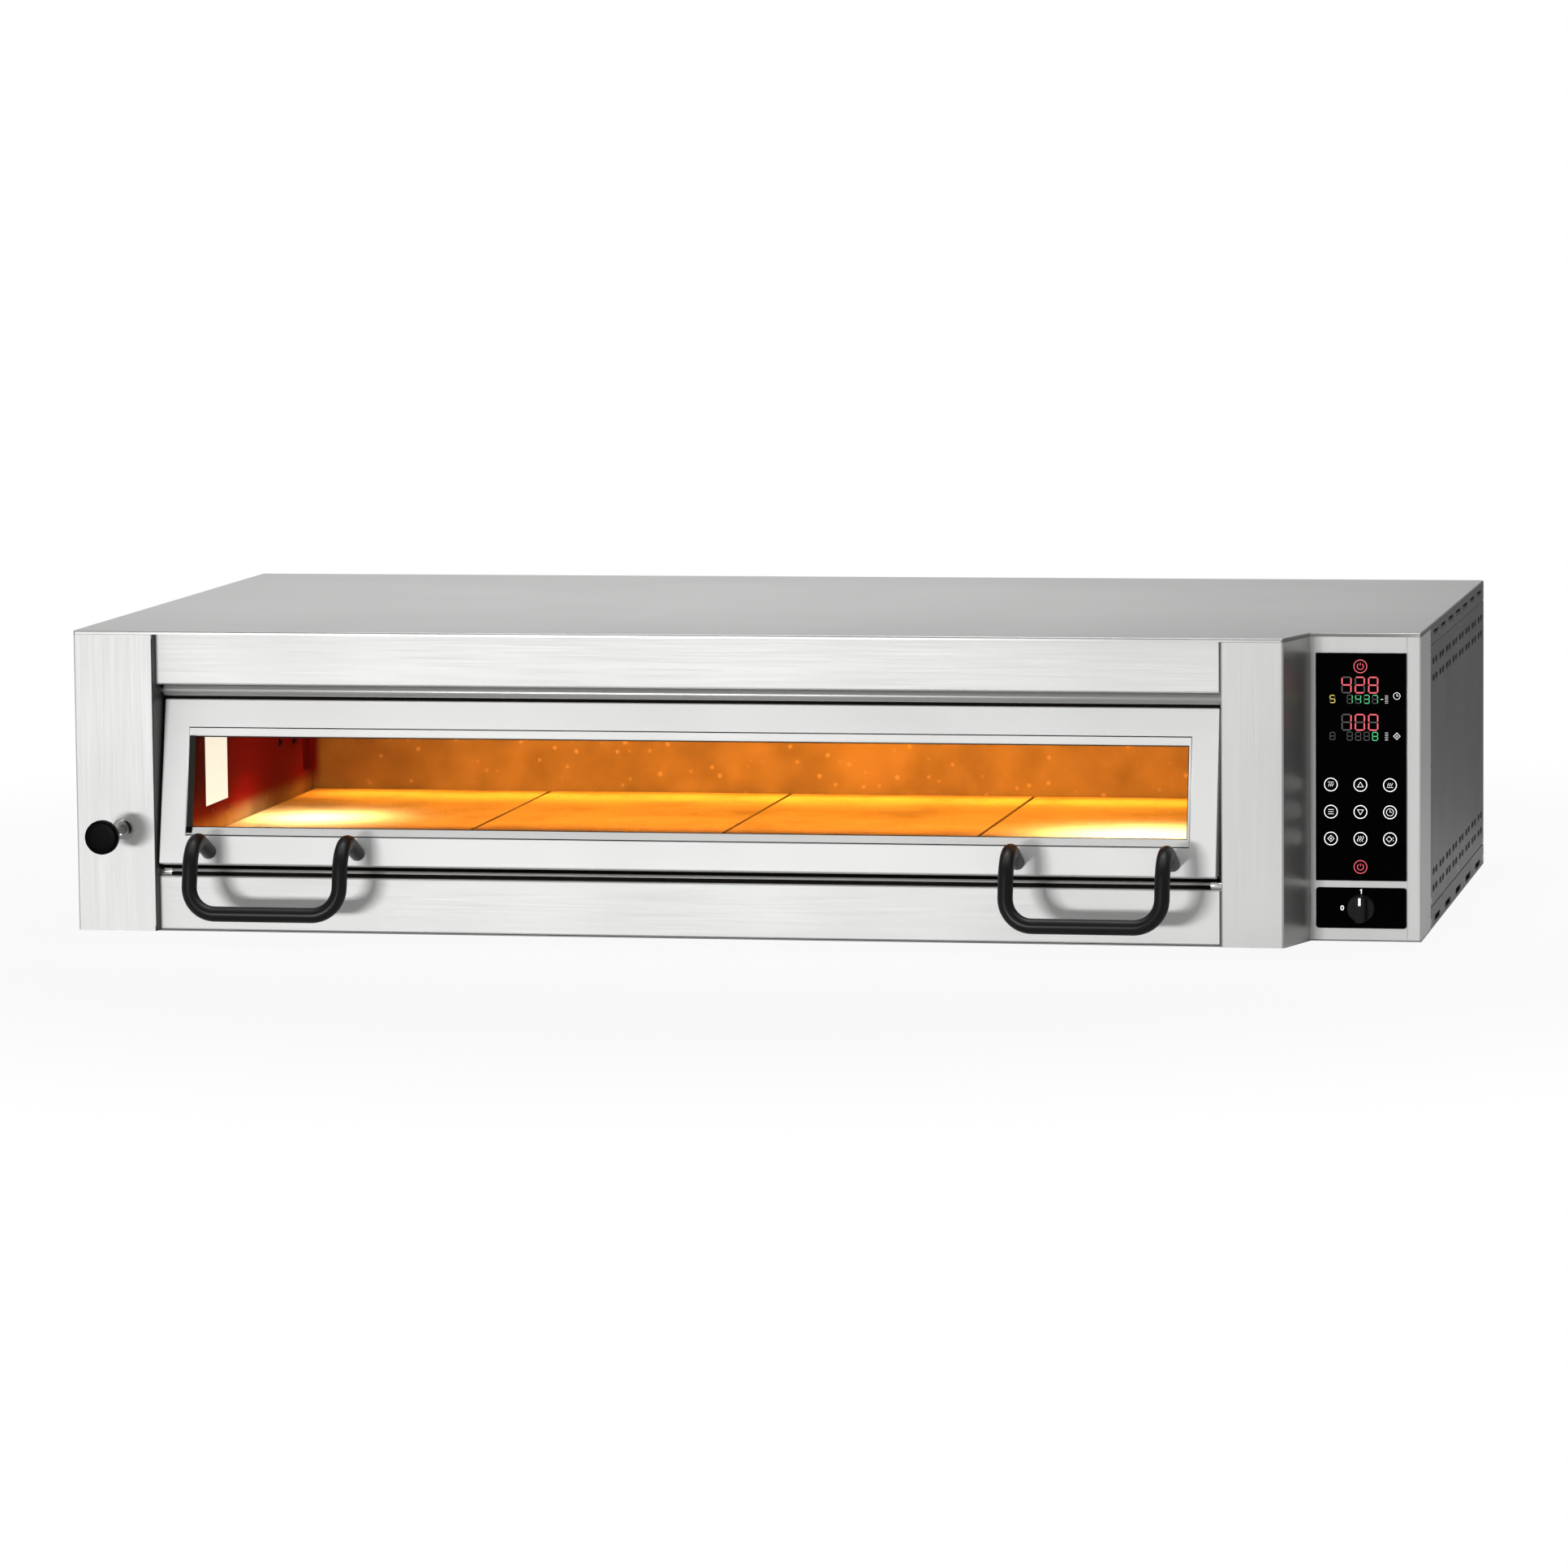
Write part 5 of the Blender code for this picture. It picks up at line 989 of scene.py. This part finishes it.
class OVEN_OT_handles(bpy.types.Operator):
    """Door handles: tubes that come out of the lower rail, bend down and join in a round-cornered bar"""

    bl_idname = "oven.handles"
    bl_label = "Door handles"
    droop = math.radians(12)
    face, sunk = 5.0 * MM, 0.3 * MM
    root_height = -214.5 * MM

    def execute(self, context):
        for node in ("door_handle_left", "door_handle_right"):
            low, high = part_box(node)
            stand_in(node, self.bent_tube(low.x, high.x, context.scene.oven_sizes), "black_powder_coat")
        return {"FINISHED"}

    def bent_tube(self, left, right, sizes):
        """Centre line in the door's frame: root, neck arc, leg, corner arc, half the bar, then its mirror."""
        radius, bend = sizes.handle_tube, sizes.handle_neck
        left, right = left + radius, right - radius
        leg = self.face - sizes.handle_standoff
        neck_y = leg + bend
        end = neck_y + bend * math.sin(self.droop)
        rise = (self.face - end) * math.tan(self.droop)
        neck_z = self.root_height + rise - bend * math.cos(self.droop)
        bar_z = neck_z + bend - sizes.handle_leg
        turn = np.linspace(math.pi / 2 + self.droop, 0, 20)
        neck = np.stack([0 * turn + left, neck_y - bend * np.cos(turn), neck_z + bend * np.sin(turn)], -1)
        root = [(left, self.face - self.sunk, self.root_height)]
        run = [neck[-1], (left, leg, bar_z), ((left + right) / 2, leg, bar_z)]
        half = np.concatenate([root, neck, rounded(run, sizes.handle_corner, 18)[1:-1]])
        other = half[::-1] * (-1, 1, 1) + (left + right, 0, 0)
        points, faces = tube(np.concatenate([half, other]), radius, 28, (0, 1, -1))
        return leaned(points), faces


class OVEN_OT_bars(bpy.types.Operator):
    """Hinge tube above the door, sill bar and bushes below it"""

    bl_idname = "oven.bars"
    bl_label = "Hinge tube and sill bar"
    edge, bush_edge = 0.8 * MM, 0.2 * MM
    hinge_bore, bush_bore = 4.15 * MM, 4.3 * MM
    underside = (0, -0.94, -0.34), (0, -0.34, -0.94)

    def execute(self, context):
        round_bar("hinge_tube", "X", "drawn_tube_steel", self.edge, self.hinge_bore)
        sill = round_bar("sill_bar", "X", "drawn_bar_steel", self.edge)
        # Painted shade: the sill bar's lower faces blackened, for the shade under it
        second_finish(sill, "heat_blackened_steel", *self.underside)
        for node in ("sill_bush_left", "sill_bush_right"):
            round_bar(node, "X", "polished_steel", self.bush_edge, self.bush_bore)
        dress("polished_steel", "hinge_pin_left", "hinge_pin_right")
        return {"FINISHED"}


class OVEN_OT_vent(bpy.types.Operator):
    """Steam vent: pull knob, rod and bush in front, gate and duct inside, flue sleeve at the back"""

    bl_idname = "oven.vent"
    bl_label = "Steam vent"
    collar, rod_bore, rod_edge = 14 * MM, 5.15 * MM, 0.6 * MM
    bush_bore, bush_sleeve, flange = 5.3 * MM, 10 * MM, 3.0 * MM
    flue_bore, flue_wall, flue_lip = 27 * MM, 2.4 * MM, 3.6 * MM

    def execute(self, context):
        self.knob(context.scene.oven_sizes.knob_rim)
        round_bar("vent_rod", "Y", "drawn_rod_steel", self.rod_edge)
        self.bush()
        dress("heat_tinted_aluminised_steel", "vent_gate", "vent_duct")
        self.sleeve()
        return {"FINISHED"}

    def knob(self, rim):
        """Spun profile: slightly domed face, round rim, waist and a collar round the rod's socket."""
        radius, centre, front, back = bar("vent_knob", "Y")
        points = [
            (AXIS, front), (radius * 0.6, front + 0.3 * MM), (radius, front + 0.8 * MM),
            (radius, front + 3.2 * rim), (self.collar, back - rim), (self.collar, back),
            (self.rod_bore, back), (self.rod_bore, back - 3 * rim),
        ]
        radii = [0, 4 * MM, rim, 1.5 * rim, rim, 0.8 * MM, 0.5 * MM, 0]
        knob = spun(points, radii, centre, 72, steps=6, ring=False)
        stand_in("vent_knob", knob, "black_moulded_plastic")

    def bush(self):
        """Spun ring: a flange against the column and a narrower sleeve through it."""
        radius, centre, front, back = bar("vent_bush", "Y")
        bore, sleeve, flange = self.bush_bore, self.bush_sleeve, front + self.flange
        points = [(bore, front), (radius, front), (radius, flange)]
        points += [(sleeve, flange), (sleeve, back), (bore, back)]
        radii = [0.4 * MM, 1.0 * MM, 0.2 * MM, 0, 0.4 * MM, 0.4 * MM]
        stand_in("vent_bush", spun(points, radii, centre, 48), "drawn_rod_steel")

    def sleeve(self):
        """Spun ring with a rolled lip that sheathes the flue behind the oven."""
        low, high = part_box("vent_duct")
        back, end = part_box("back_panel")[1].y, high.y
        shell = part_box("chamber_shell")[0].x
        bore, wall, lip = self.flue_bore, self.flue_bore + self.flue_wall, self.flue_bore + self.flue_lip
        points = [(bore, back), (wall, back), (wall, end - 4 * MM)]
        points += [(lip, end - 3 * MM), (lip, end), (bore, end)]
        centre = ((low.x + shell) / 2, middle("vent_duct")[2])
        detail("flue_sleeve", spun(points, 0.6 * MM, centre, 64), "brushed_stainless_y", "vent_duct")


class OVEN_OT_chamber(bpy.types.Operator):
    """Baking chamber: heat-tinted sheet, stones with worn edges, round elements, lit lamps and wool"""

    bl_idname = "oven.chamber"
    bl_label = "Baking chamber"
    # Lamps at the ends: side, direction inwards, distance from the wall, place along Y, share of the power
    ends = (("left", 1, 0.095, -0.06, 0.9), ("right", -1, 0.14, -0.14, 2.0))
    pool_height, pool_depth = 90 * MM, 0.08
    foot_away, foot_along, foot_height, foot_size = 45 * MM, -0.24, 14 * MM, (0.30, 0.02)
    # Lamps of the elements: shift along X, distance from front or back, distance below the roof, size
    element_shift, element_in, element_below, element_size = 0.02, 0.16, 22 * MM, (1.2, 0.06)
    rear_in, rear_below, rear_size, rear_share = 40 * MM, 100 * MM, (1.35, 0.02), 1 / 4.6
    # Heads on the left wall: places along Y and Z, radius and rise
    screws, screw_size = ((-0.230, 0.1355), (-0.144, 0.1315)), (3 * MM, 1.5 * MM)
    plugs, plug_size = ((0.124, 0.1905), (0.198, 0.186)), (6 * MM, 3 * MM)

    def execute(self, context):
        edge = context.scene.oven_sizes.stone_edge
        shell = "chamber_shell", "chamber_back", "lamp_housing_left", "lamp_housing_right"
        dress("heat_tinted_aluminised_steel", *shell)
        for i in range(1, 5):
            stone = softened(f"hearth_stone_{i}", "fired_refractory_stone", edge)
            # Painted shade: each stone's two ends in the dark sheath finish, darkening the joints between the
            # stones
            second_finish(stone, "oxidised_element_sheath", (1, 0, 0), (-1, 0, 0))
        for node in [f"{level}_element_{i}" for level in ("upper", "lower") for i in range(1, 4)]:
            stand_in(node, self.hairpin(node), "oxidised_element_sheath")
        dress("lit_lamp_glass", "lamp_glass_left", "lamp_glass_right")
        dress("polished_steel", "chamber_probe")
        slabs = [f"insulation_{side}" for side in ("top", "bottom", "back", "left", "right")]
        dress("spun_mineral_wool", *slabs)
        self.glow(context.scene.oven_stage)
        self.fittings("lamp_screws", self.screws, self.screw_size, "oxidised_element_sheath", "chamber_probe")
        self.fittings("wall_plugs", self.plugs, self.plug_size, "black_moulded_plastic", "fan_frame")
        return {"FINISHED"}

    def hairpin(self, node):
        """Tube out along -X, round a half circle and back; the solid's box gives run, loop and radius."""
        low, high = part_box(node)
        radius = (high.z - low.z) / 2
        loop = (high.y - low.y) / 2 - radius
        _, y, z = middle(node)
        turn = np.linspace(-np.pi / 2, -3 * np.pi / 2, 32)
        bend = low.x + radius + loop
        arc = np.stack([bend + loop * np.cos(turn), y + loop * np.sin(turn), 0 * turn + z], -1)
        path = np.concatenate([[(high.x, y - loop, z)], arc, [(high.x, y + loop, z)]])
        return tube(path, radius, 16, (0, 0, 1))

    def glow(self, stage):
        """Warm lamps: one over the hearth and one at the wall's foot at each end, two long ones for heat."""
        glow, heat = colour("glow"), colour("heat")
        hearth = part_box("hearth_stone_1")[1].z
        for side, inward, away, along, share in self.ends:
            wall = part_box(f"lamp_glass_{side}")[0 if inward < 0 else 1].x
            place = (wall + inward * away, along, hearth + self.pool_height)
            size = (away, self.pool_depth)
            soft_lamp(f"chamber_lamp_{side}", place, (0, 0, -1), size, share * stage.lamp, glow, 130)
            place = (wall + inward * self.foot_away, self.foot_along, hearth + self.foot_height)
            aim = (-inward, 0, -0.1)
            soft_lamp(f"wall_foot_glow_{side}", place, aim, self.foot_size, stage.foot, heat, 120)
        low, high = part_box("chamber_shell")
        x = (low.x + high.x) / 2
        place = (x + self.element_shift, low.y + self.element_in, high.z - self.element_below)
        soft_lamp("element_glow", place, (0, 1, -0.16), self.element_size, stage.heat, heat, 100)
        place = (x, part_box("chamber_back")[0].y - self.rear_in, high.z - self.rear_below)
        watts = stage.heat * self.rear_share
        soft_lamp("rear_glow", place, (0, -0.5, -1), self.rear_size, watts, heat, 115)

    def fittings(self, name, places, size, look, like):
        """Button heads on the left wall."""
        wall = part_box("lamp_glass_left")[1].x
        radius, rise = size
        heads = [screw_head(radius, "X", place, wall, 1, rise) for place in places]
        detail(name, merged(heads), look, like)


# Ends of each segment of a digit, and the segments that are lit in each digit
SEGMENTS = {
    "a": ((0, 1), (1, 1)), "b": ((1, 1), (1, 0.5)), "c": ((1, 0.5), (1, 0)), "d": ((0, 0), (1, 0)),
    "e": ((0, 0.5), (0, 0)), "f": ((0, 1), (0, 0.5)), "g": ((0, 0.5), (1, 0.5)),
}
DIGITS = {
    "0": "abcdef", "1": "bc", "2": "abged", "3": "abgcd", "4": "fgbc",
    "5": "afgcd", "7": "abc", "8": "abcdefg", " ": "",
}


class OVEN_OT_control_glass(bpy.types.Operator):
    """Control glass with its lit digits, touch buttons and signs, and the board behind it"""

    bl_idname = "oven.control_glass"
    bl_label = "Control glass"
    # Sizes of digits in mm: pitch, width and height
    large, medium, small = (17.2, 11.5, 20.0), (10.9, 6.6, 10.4), (10.9, 6.2, 9.4)
    # Digits, colour, place from the left and from the top in mm, size
    rows = (
        ("428", "red", 40, 41.2, large),
        ("1437", "green", 44.1, 59.5, medium),
        ("100", "red", 40, 89.4, large),
        ("   8", "green", 44.1, 107.4, medium),
        ("5", "yellow", 21.8, 59.5, small),
        (" ", "yellow", 21.8, 107.4, small),
    )
    columns = (19.6 * MM, 57.8 * MM, 96.0 * MM)
    button_rows = (170.3 * MM, 205.5 * MM, 240.4 * MM)
    power_rows = (17.1 * MM, 276.9 * MM)
    corner, edge = 1.2 * MM, 0.5 * MM
    # Signs beside the digits, from the left and from the top in mm
    clock, lamp, sign = (104.9, -55.0), (104.9, -107.0), 4.3 * MM
    dash = (83.8, -59.5), (87.4, -59.5)
    stack_rows, stack_ends, stack_half = (59.5 * MM, 107.4 * MM), (89.6 * MM, 93.6 * MM), 4.8 * MM

    def execute(self, context):
        sizes = context.scene.oven_sizes
        self.height, self.line = sizes.print_height, sizes.line
        front_plate("control_glass", "back_printed_glass", self.corner, 5, self.edge)
        dress("lacquered_circuit_board", "display_board")
        low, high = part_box("control_glass")
        drawn = self.digits()
        drawn["red"] += self.power_signs(sizes.button)
        drawn["ink"] = self.buttons(sizes.button) + self.side_signs()
        for name, shapes in drawn.items():
            look = f"{name}_print" if name in ("ink", "unlit") else f"{name}_lit"
            shape = on_front(merged(shapes), (low.x, low.y, high.z))
            detail(f"control_{name}_signs", shape, look, "control_glass")
        return {"FINISHED"}

    def drawn_line(self, points, share, closed=False):
        """A stroke whose width is a share of the line width of signs."""
        return stroke(points, self.line * share, self.height, closed)

    def digits(self):
        """Seven-segment digits: each lit segment in its row's colour, each dark one in grey."""
        drawn = {"red": [], "green": [], "yellow": [], "unlit": []}
        for text, tone, left, top, size in self.rows:
            pitch, width, height = size
            for i, digit in enumerate(text):
                corner = np.array([left + i * pitch - width / 2, -top - height / 2])
                for name, ends in SEGMENTS.items():
                    target = drawn[tone] if name in DIGITS[digit] else drawn["unlit"]
                    target.append(self.segment((corner + np.array(ends) * (width, height)) * MM, width * MM))
        return drawn

    def segment(self, ends, width):
        """A bar with pointed ends, a little shorter than the side of the digit it lies on."""
        half = 0.075 * width
        run = unit(ends[1] - ends[0])
        left = np.array([-run[1], run[0]]) * half
        inset = run * 1.6 * half
        start, end = ends[0] + inset, ends[1] - inset
        tips = start - run * half, end + run * half
        outline = np.array([tips[0], start + left, end + left, tips[1], end - left, start - left])
        flat = np.concatenate([outline, np.zeros((6, 1))], 1)
        return skin(np.stack([flat, flat + (0, 0, self.height)]))

    def power_signs(self, radius):
        """Two rings, each with a ring broken at the top and a short upright stroke."""
        turn = np.linspace(math.radians(125), math.radians(415), 24)
        broken = 0.48 * np.stack([np.cos(turn), np.sin(turn)], -1)
        upright = np.array([[0, 0.12], [0, 0.55]])
        shapes = []
        for top in self.power_rows:
            centre = np.array([self.columns[1], -top])
            shapes.append(self.drawn_line(ellipse(centre, radius), 0.85, True))
            shapes += [self.drawn_line(centre + line * radius, 0.75) for line in (broken, upright)]
        return shapes

    def buttons(self, radius):
        """Nine white rings with signs: heat above and below, up, down, list, clock, lamp, steam, lamp timer.

        Each sign is a list of lines in radii of its ring, and each line says whether it closes.
        """
        wave = np.linspace(-1, 1, 9)
        sway = np.stack([0.14 * np.sin(wave * np.pi), 0.42 * wave], -1)
        diamond = np.array([[0, 0.5], [-0.5, 0], [0, -0.5], [0.5, 0]])
        up = np.array([[0, 0.42], [-0.46, -0.34], [0.46, -0.34]])
        bars = [np.array([[-0.42, y], [0.42, y]]) for y in (0.34, 0, -0.34)]
        slants = [np.array([[x - 0.10, -0.3], [x + 0.10, 0.16]]) for x in (-0.3, 0, 0.3)]
        heat = [np.array([[-0.48, 0.38], [0.48, 0.38]]), *slants]
        hands = np.array([[0, 0.38], [0, 0], [0.3, 0]])
        ticks = [np.array([[0.5, y], [0.5, y + 0.2]]) for y in (0.12, -0.32)]
        signs = (
            [(line, False) for line in heat],
            [(up, True)],
            [(-line, False) for line in heat],
            [(line, False) for line in bars],
            [(-up, True)],
            [(ellipse((0, 0), 0.55, 28), True), (hands, False)],
            [(diamond, True), (ellipse((0, 0), 0.10, 10), True)],
            [(sway + (x, 0), False) for x in (-0.36, 0, 0.36)],
            [(diamond * 0.9 + (-0.14, 0), True)] + [(line, False) for line in ticks],
        )
        shapes = []
        for i, lines in enumerate(signs):
            centre = np.array([self.columns[i % 3], -self.button_rows[i // 3]])
            shapes.append(self.drawn_line(ellipse(centre, radius, 48), 0.88, True))
            shapes += [self.drawn_line(centre + points * radius, 0.5, closed) for points, closed in lines]
        return shapes

    def side_signs(self):
        """Beside the digits: a clock, a lamp diamond, a dash and two stacks of short bars."""
        clock, lamp = np.array(self.clock) * MM, np.array(self.lamp) * MM
        diamond = lamp + np.array([[0, 1], [-1, 0], [0, -1], [1, 0]]) * self.sign
        hands = clock + np.array([[0, 0.6], [0, 0], [0.55, 0]]) * self.sign
        shapes = [
            self.drawn_line(ellipse(clock, self.sign, 32), 0.5, True),
            self.drawn_line(hands, 0.5),
            self.drawn_line(diamond, 0.5, True),
            self.drawn_line(ellipse(lamp, self.sign * 0.25, 12), 0.4, True),
            self.drawn_line(np.array(self.dash) * MM, 0.5),
        ]
        for top in self.stack_rows:
            for level in np.linspace(-1, 1, 6) * self.stack_half - top:
                shapes.append(self.drawn_line([(x, level) for x in self.stack_ends], 0.275))
        return shapes


class OVEN_OT_main_switch(bpy.types.Operator):
    """Main switch: black plate with its figures, round knob with a grip bar and a white pointer"""

    bl_idname = "oven.main_switch"
    bl_label = "Main switch"
    plate_corner, plate_edge = 4.0 * MM, 0.6 * MM
    figure, figure_reach, figure_line, one_drop = 5.4 * MM, 24.5 * MM, 1.2 * MM, 3.2 * MM
    gap, flare, grip_inset, grip_root, grip_edge = 0.3 * MM, 0.8 * MM, 0.7 * MM, 1 * MM, 1.6 * MM
    shaft = 3 * MM
    pointer_width, pointer_length, pointer_drop = 3.2 * MM, 10 * MM, 7 * MM

    def execute(self, context):
        sizes = context.scene.oven_sizes
        front_plate("switch_plate", "back_printed_glass", self.plate_corner, 8, self.plate_edge)
        x, _, z = middle("switch_plate")
        self.figures(sizes.print_height, (x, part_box("switch_plate")[0].y, z))
        self.knob(sizes)
        dress("pale_moulded_plastic", "switch_body")
        return {"FINISHED"}

    def figures(self, height, centre):
        """A one above the knob and a nought to its left, drawn as strokes."""
        one = np.array([[-0.22, 0.28], [0.06, 0.5], [0.06, -0.5]]) * self.figure
        one = stroke(one + (0, self.figure_reach - self.one_drop), self.figure_line, height)
        nought = ellipse((-self.figure_reach, 0), self.figure * 0.32, 24, 1.55)
        nought = stroke(nought, self.figure_line, height, True)
        detail("switch_figures", on_front(merged([one, nought]), centre), "white_print", "switch_plate")

    def knob(self, sizes):
        """A spun skirt, a round-ended grip bar from rim to rim, and a pointer at the bar's upper end."""
        low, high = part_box("switch_knob")
        radius = (high.x - low.x) / 2
        centre = middle("switch_knob") * (1, 0, 1)
        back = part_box("switch_plate")[0].y - self.gap
        front = back - sizes.skirt
        points = [(AXIS, front), (radius - self.flare, front), (radius, back), (AXIS, back)]
        skirt = spun(points, [0, 1.6 * MM, 0.4 * MM, 0], centre[::2], 72, steps=5, ring=False)
        reach = radius - self.grip_inset
        outline = oblong(sizes.grip, 2 * reach, 0.3 * sizes.grip, 8)
        grip = plate(outline, front - low.y + self.grip_root, self.grip_edge, 4)
        grip = on_front(grip, centre + (0, front + self.grip_root, 0))
        shaft = turned([(self.shaft, back - MM), (self.shaft, high.y)], "Y", centre[::2], 24)
        stand_in("switch_knob", merged([skirt, grip, shaft]), "charcoal_moulded_plastic")
        pointer = plate(oblong(self.pointer_width, self.pointer_length, 0.5 * MM), 0.4 * MM, 0.1 * MM)
        tip = centre + (0, low.y + 0.2 * MM, reach - self.pointer_drop)
        detail("switch_pointer", on_front(pointer, tip), "white_print", "switch_knob")


class OVEN_OT_rear(bpy.types.Operator):
    """Rear and electrical end: fan with a wire guard, supply gland, contactor and terminals"""

    bl_idname = "oven.rear"
    bl_label = "Fan and electrical end"
    wire, wire_sides = 1.1 * MM, 12
    ring_pitch, ring_start, ring_count = 10 * MM, 6 * MM, 5
    spoke_over, spoke_lift = 4 * MM, 0.4 * MM
    neck, bore, lead_rim = 12 * MM, 7 * MM, 1.8 * MM
    # Heights of the gland's flange, shoulder and dome
    clearance, flange, shoulder, dome = 0.3 * MM, 6 * MM, 8 * MM, 5 * MM

    def execute(self, context):
        dress("black_moulded_plastic", "fan_frame", "fan_rotor")
        dress("pale_moulded_plastic", "contactor", "terminal_block")
        self.guard()
        self.gland()
        return {"FINISHED"}

    def guard(self):
        """Wire rings at one pitch and two crossed spokes: a circle carried round circles and along lines."""
        x, _, z = middle("fan_frame")
        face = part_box("back_panel")[1].y + self.wire
        section = ellipse((0, face), self.wire, self.wire_sides)
        radii = [i * self.ring_pitch + self.ring_start for i in range(1, self.ring_count + 1)]
        shapes = [turned(section + (radius, 0), "Y", (x, z), 64, ring=True) for radius in radii]
        reach = radii[-1] * math.sqrt(0.5) + self.spoke_over
        for side in (-1, 1):
            ends = np.array([[-reach, 0, -side * reach], [reach, 0, side * reach]])
            path = ends + (x, face + self.spoke_lift, z)
            shapes.append(tube(path, self.wire, self.wire_sides, (0, 1, 0)))
        detail("fan_guard", merged(shapes), "polished_steel", "vent_bush")

    def gland(self):
        """Spun gland: inner nut, neck, outer flange, domed nut and a bore for the lead."""
        radius, centre, inside, outside = bar("cable_gland", "Y")
        front, back = (corner.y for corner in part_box("back_panel"))
        neck, bore, gap = self.neck, self.bore, self.clearance
        points = [
            (bore, inside), (radius, inside), (radius, front - gap), (neck, front - gap), (neck, back + gap),
            (radius, back + gap), (radius, back + self.flange), (neck, back + self.shoulder),
            (neck, outside - self.dome), (bore + self.lead_rim, outside), (bore, outside),
        ]
        stand_in("cable_gland", spun(points, 0.5 * MM, centre, 48), "black_moulded_plastic")


class OVEN_OT_screws(bpy.types.Operator):
    """Sheet screws in the roof lips, side sheets, base strips and back"""

    bl_idname = "oven.screws"
    bl_label = "Sheet screws"
    # Distances from the sheets' ends, and heights of the rows
    side_edge, back_edge, fan_edge = 9 * MM, 14 * MM, 7.5 * MM
    side_rows, side_middle = (37.5 * MM, 365.5 * MM), 215 * MM
    lip_below_roof, base_row, back_top = 13.5 * MM, 9.5 * MM, 355 * MM
    back_columns = 6

    def execute(self, context):
        sizes = context.scene.oven_sizes
        self.side_screws("left", -1, sizes.screw, sizes.screw_rise)
        self.side_screws("right", 1, sizes.screw, sizes.screw_rise)
        self.back_screws(sizes.screw)
        return {"FINISHED"}

    def side_screws(self, side, outward, radius, rise):
        """Heads near a side sheet's corners and middles and at the ends of the lips above and below it."""
        low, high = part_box(f"side_panel_{side}")
        face = high.x if outward > 0 else low.x
        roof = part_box("top_cover")[1].z
        ends = low.y + self.side_edge, high.y - self.side_edge
        places = [(y, z) for y in (ends[0], (low.y + high.y) / 2, ends[1]) for z in self.side_rows]
        rows = self.side_middle, roof - self.lip_below_roof, self.base_row
        places += [(y, z) for z in rows for y in ends]
        heads = [screw_head(radius, "X", place, face, outward, rise) for place in places]
        detail(f"side_screws_{side}", merged(heads), "polished_steel", "vent_bush")
        socket = [(radius / 2.4, face), (radius / 2.4, face + outward * 1.4 * rise)]
        sockets = [turned(socket, "X", place, 6) for place in places]
        detail(f"screw_sockets_{side}", merged(sockets), "black_moulded_plastic", "fan_frame")

    def back_screws(self, radius):
        """Heads round the back sheet and at the fan's corners."""
        low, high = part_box("back_panel")
        fan_low, fan_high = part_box("fan_frame")
        columns = np.linspace(low.x + self.back_edge, high.x - self.back_edge, self.back_columns)
        places = [(x, z) for x in columns for z in (low.z + self.back_edge, self.back_top)]
        fan_columns = fan_low.x + self.fan_edge, fan_high.x - self.fan_edge
        fan_rows = fan_low.z + self.fan_edge, fan_high.z - self.fan_edge
        places += [(x, z) for x in fan_columns for z in fan_rows]
        heads = [screw_head(radius, "Y", place, high.y, 1, radius / 2) for place in places]
        detail("back_screws", merged(heads), "polished_steel", "vent_bush")


class OVEN_PT_tools(bpy.types.Panel):
    """Lists the steps that dress the oven, in order"""

    bl_idname = "OVEN_PT_tools"
    bl_label = "Pizza oven"
    bl_space_type = "VIEW_3D"
    bl_region_type = "UI"
    bl_category = "Oven"

    def draw(self, context):
        for step in STEPS:
            self.layout.operator(step.bl_idname)
        for group in (context.scene.oven_sizes, context.scene.oven_colours, context.scene.oven_stage):
            for key in group.__annotations__:
                self.layout.prop(group, key)


GROUPS = {"oven_sizes": OvenSizes, "oven_colours": OvenColours, "oven_stage": OvenStage}
STEPS = (
    OVEN_OT_stage, OVEN_OT_casing, OVEN_OT_door, OVEN_OT_handles, OVEN_OT_bars, OVEN_OT_vent, OVEN_OT_chamber,
    OVEN_OT_control_glass, OVEN_OT_main_switch, OVEN_OT_rear, OVEN_OT_screws,
)


def register():
    for made in (*GROUPS.values(), *STEPS, OVEN_PT_tools):
        bpy.utils.register_class(made)
    for name, group in GROUPS.items():
        setattr(bpy.types.Scene, name, PointerProperty(type=group))


def unregister():
    for name in GROUPS:
        delattr(bpy.types.Scene, name)
    for made in reversed((*GROUPS.values(), *STEPS, OVEN_PT_tools)):
        bpy.utils.unregister_class(made)


def main():
    """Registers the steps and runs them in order."""
    register()
    for step in STEPS:
        family, name = step.bl_idname.split(".")
        getattr(getattr(bpy.ops, family), name)()


if __name__ == "__main__":
    main()
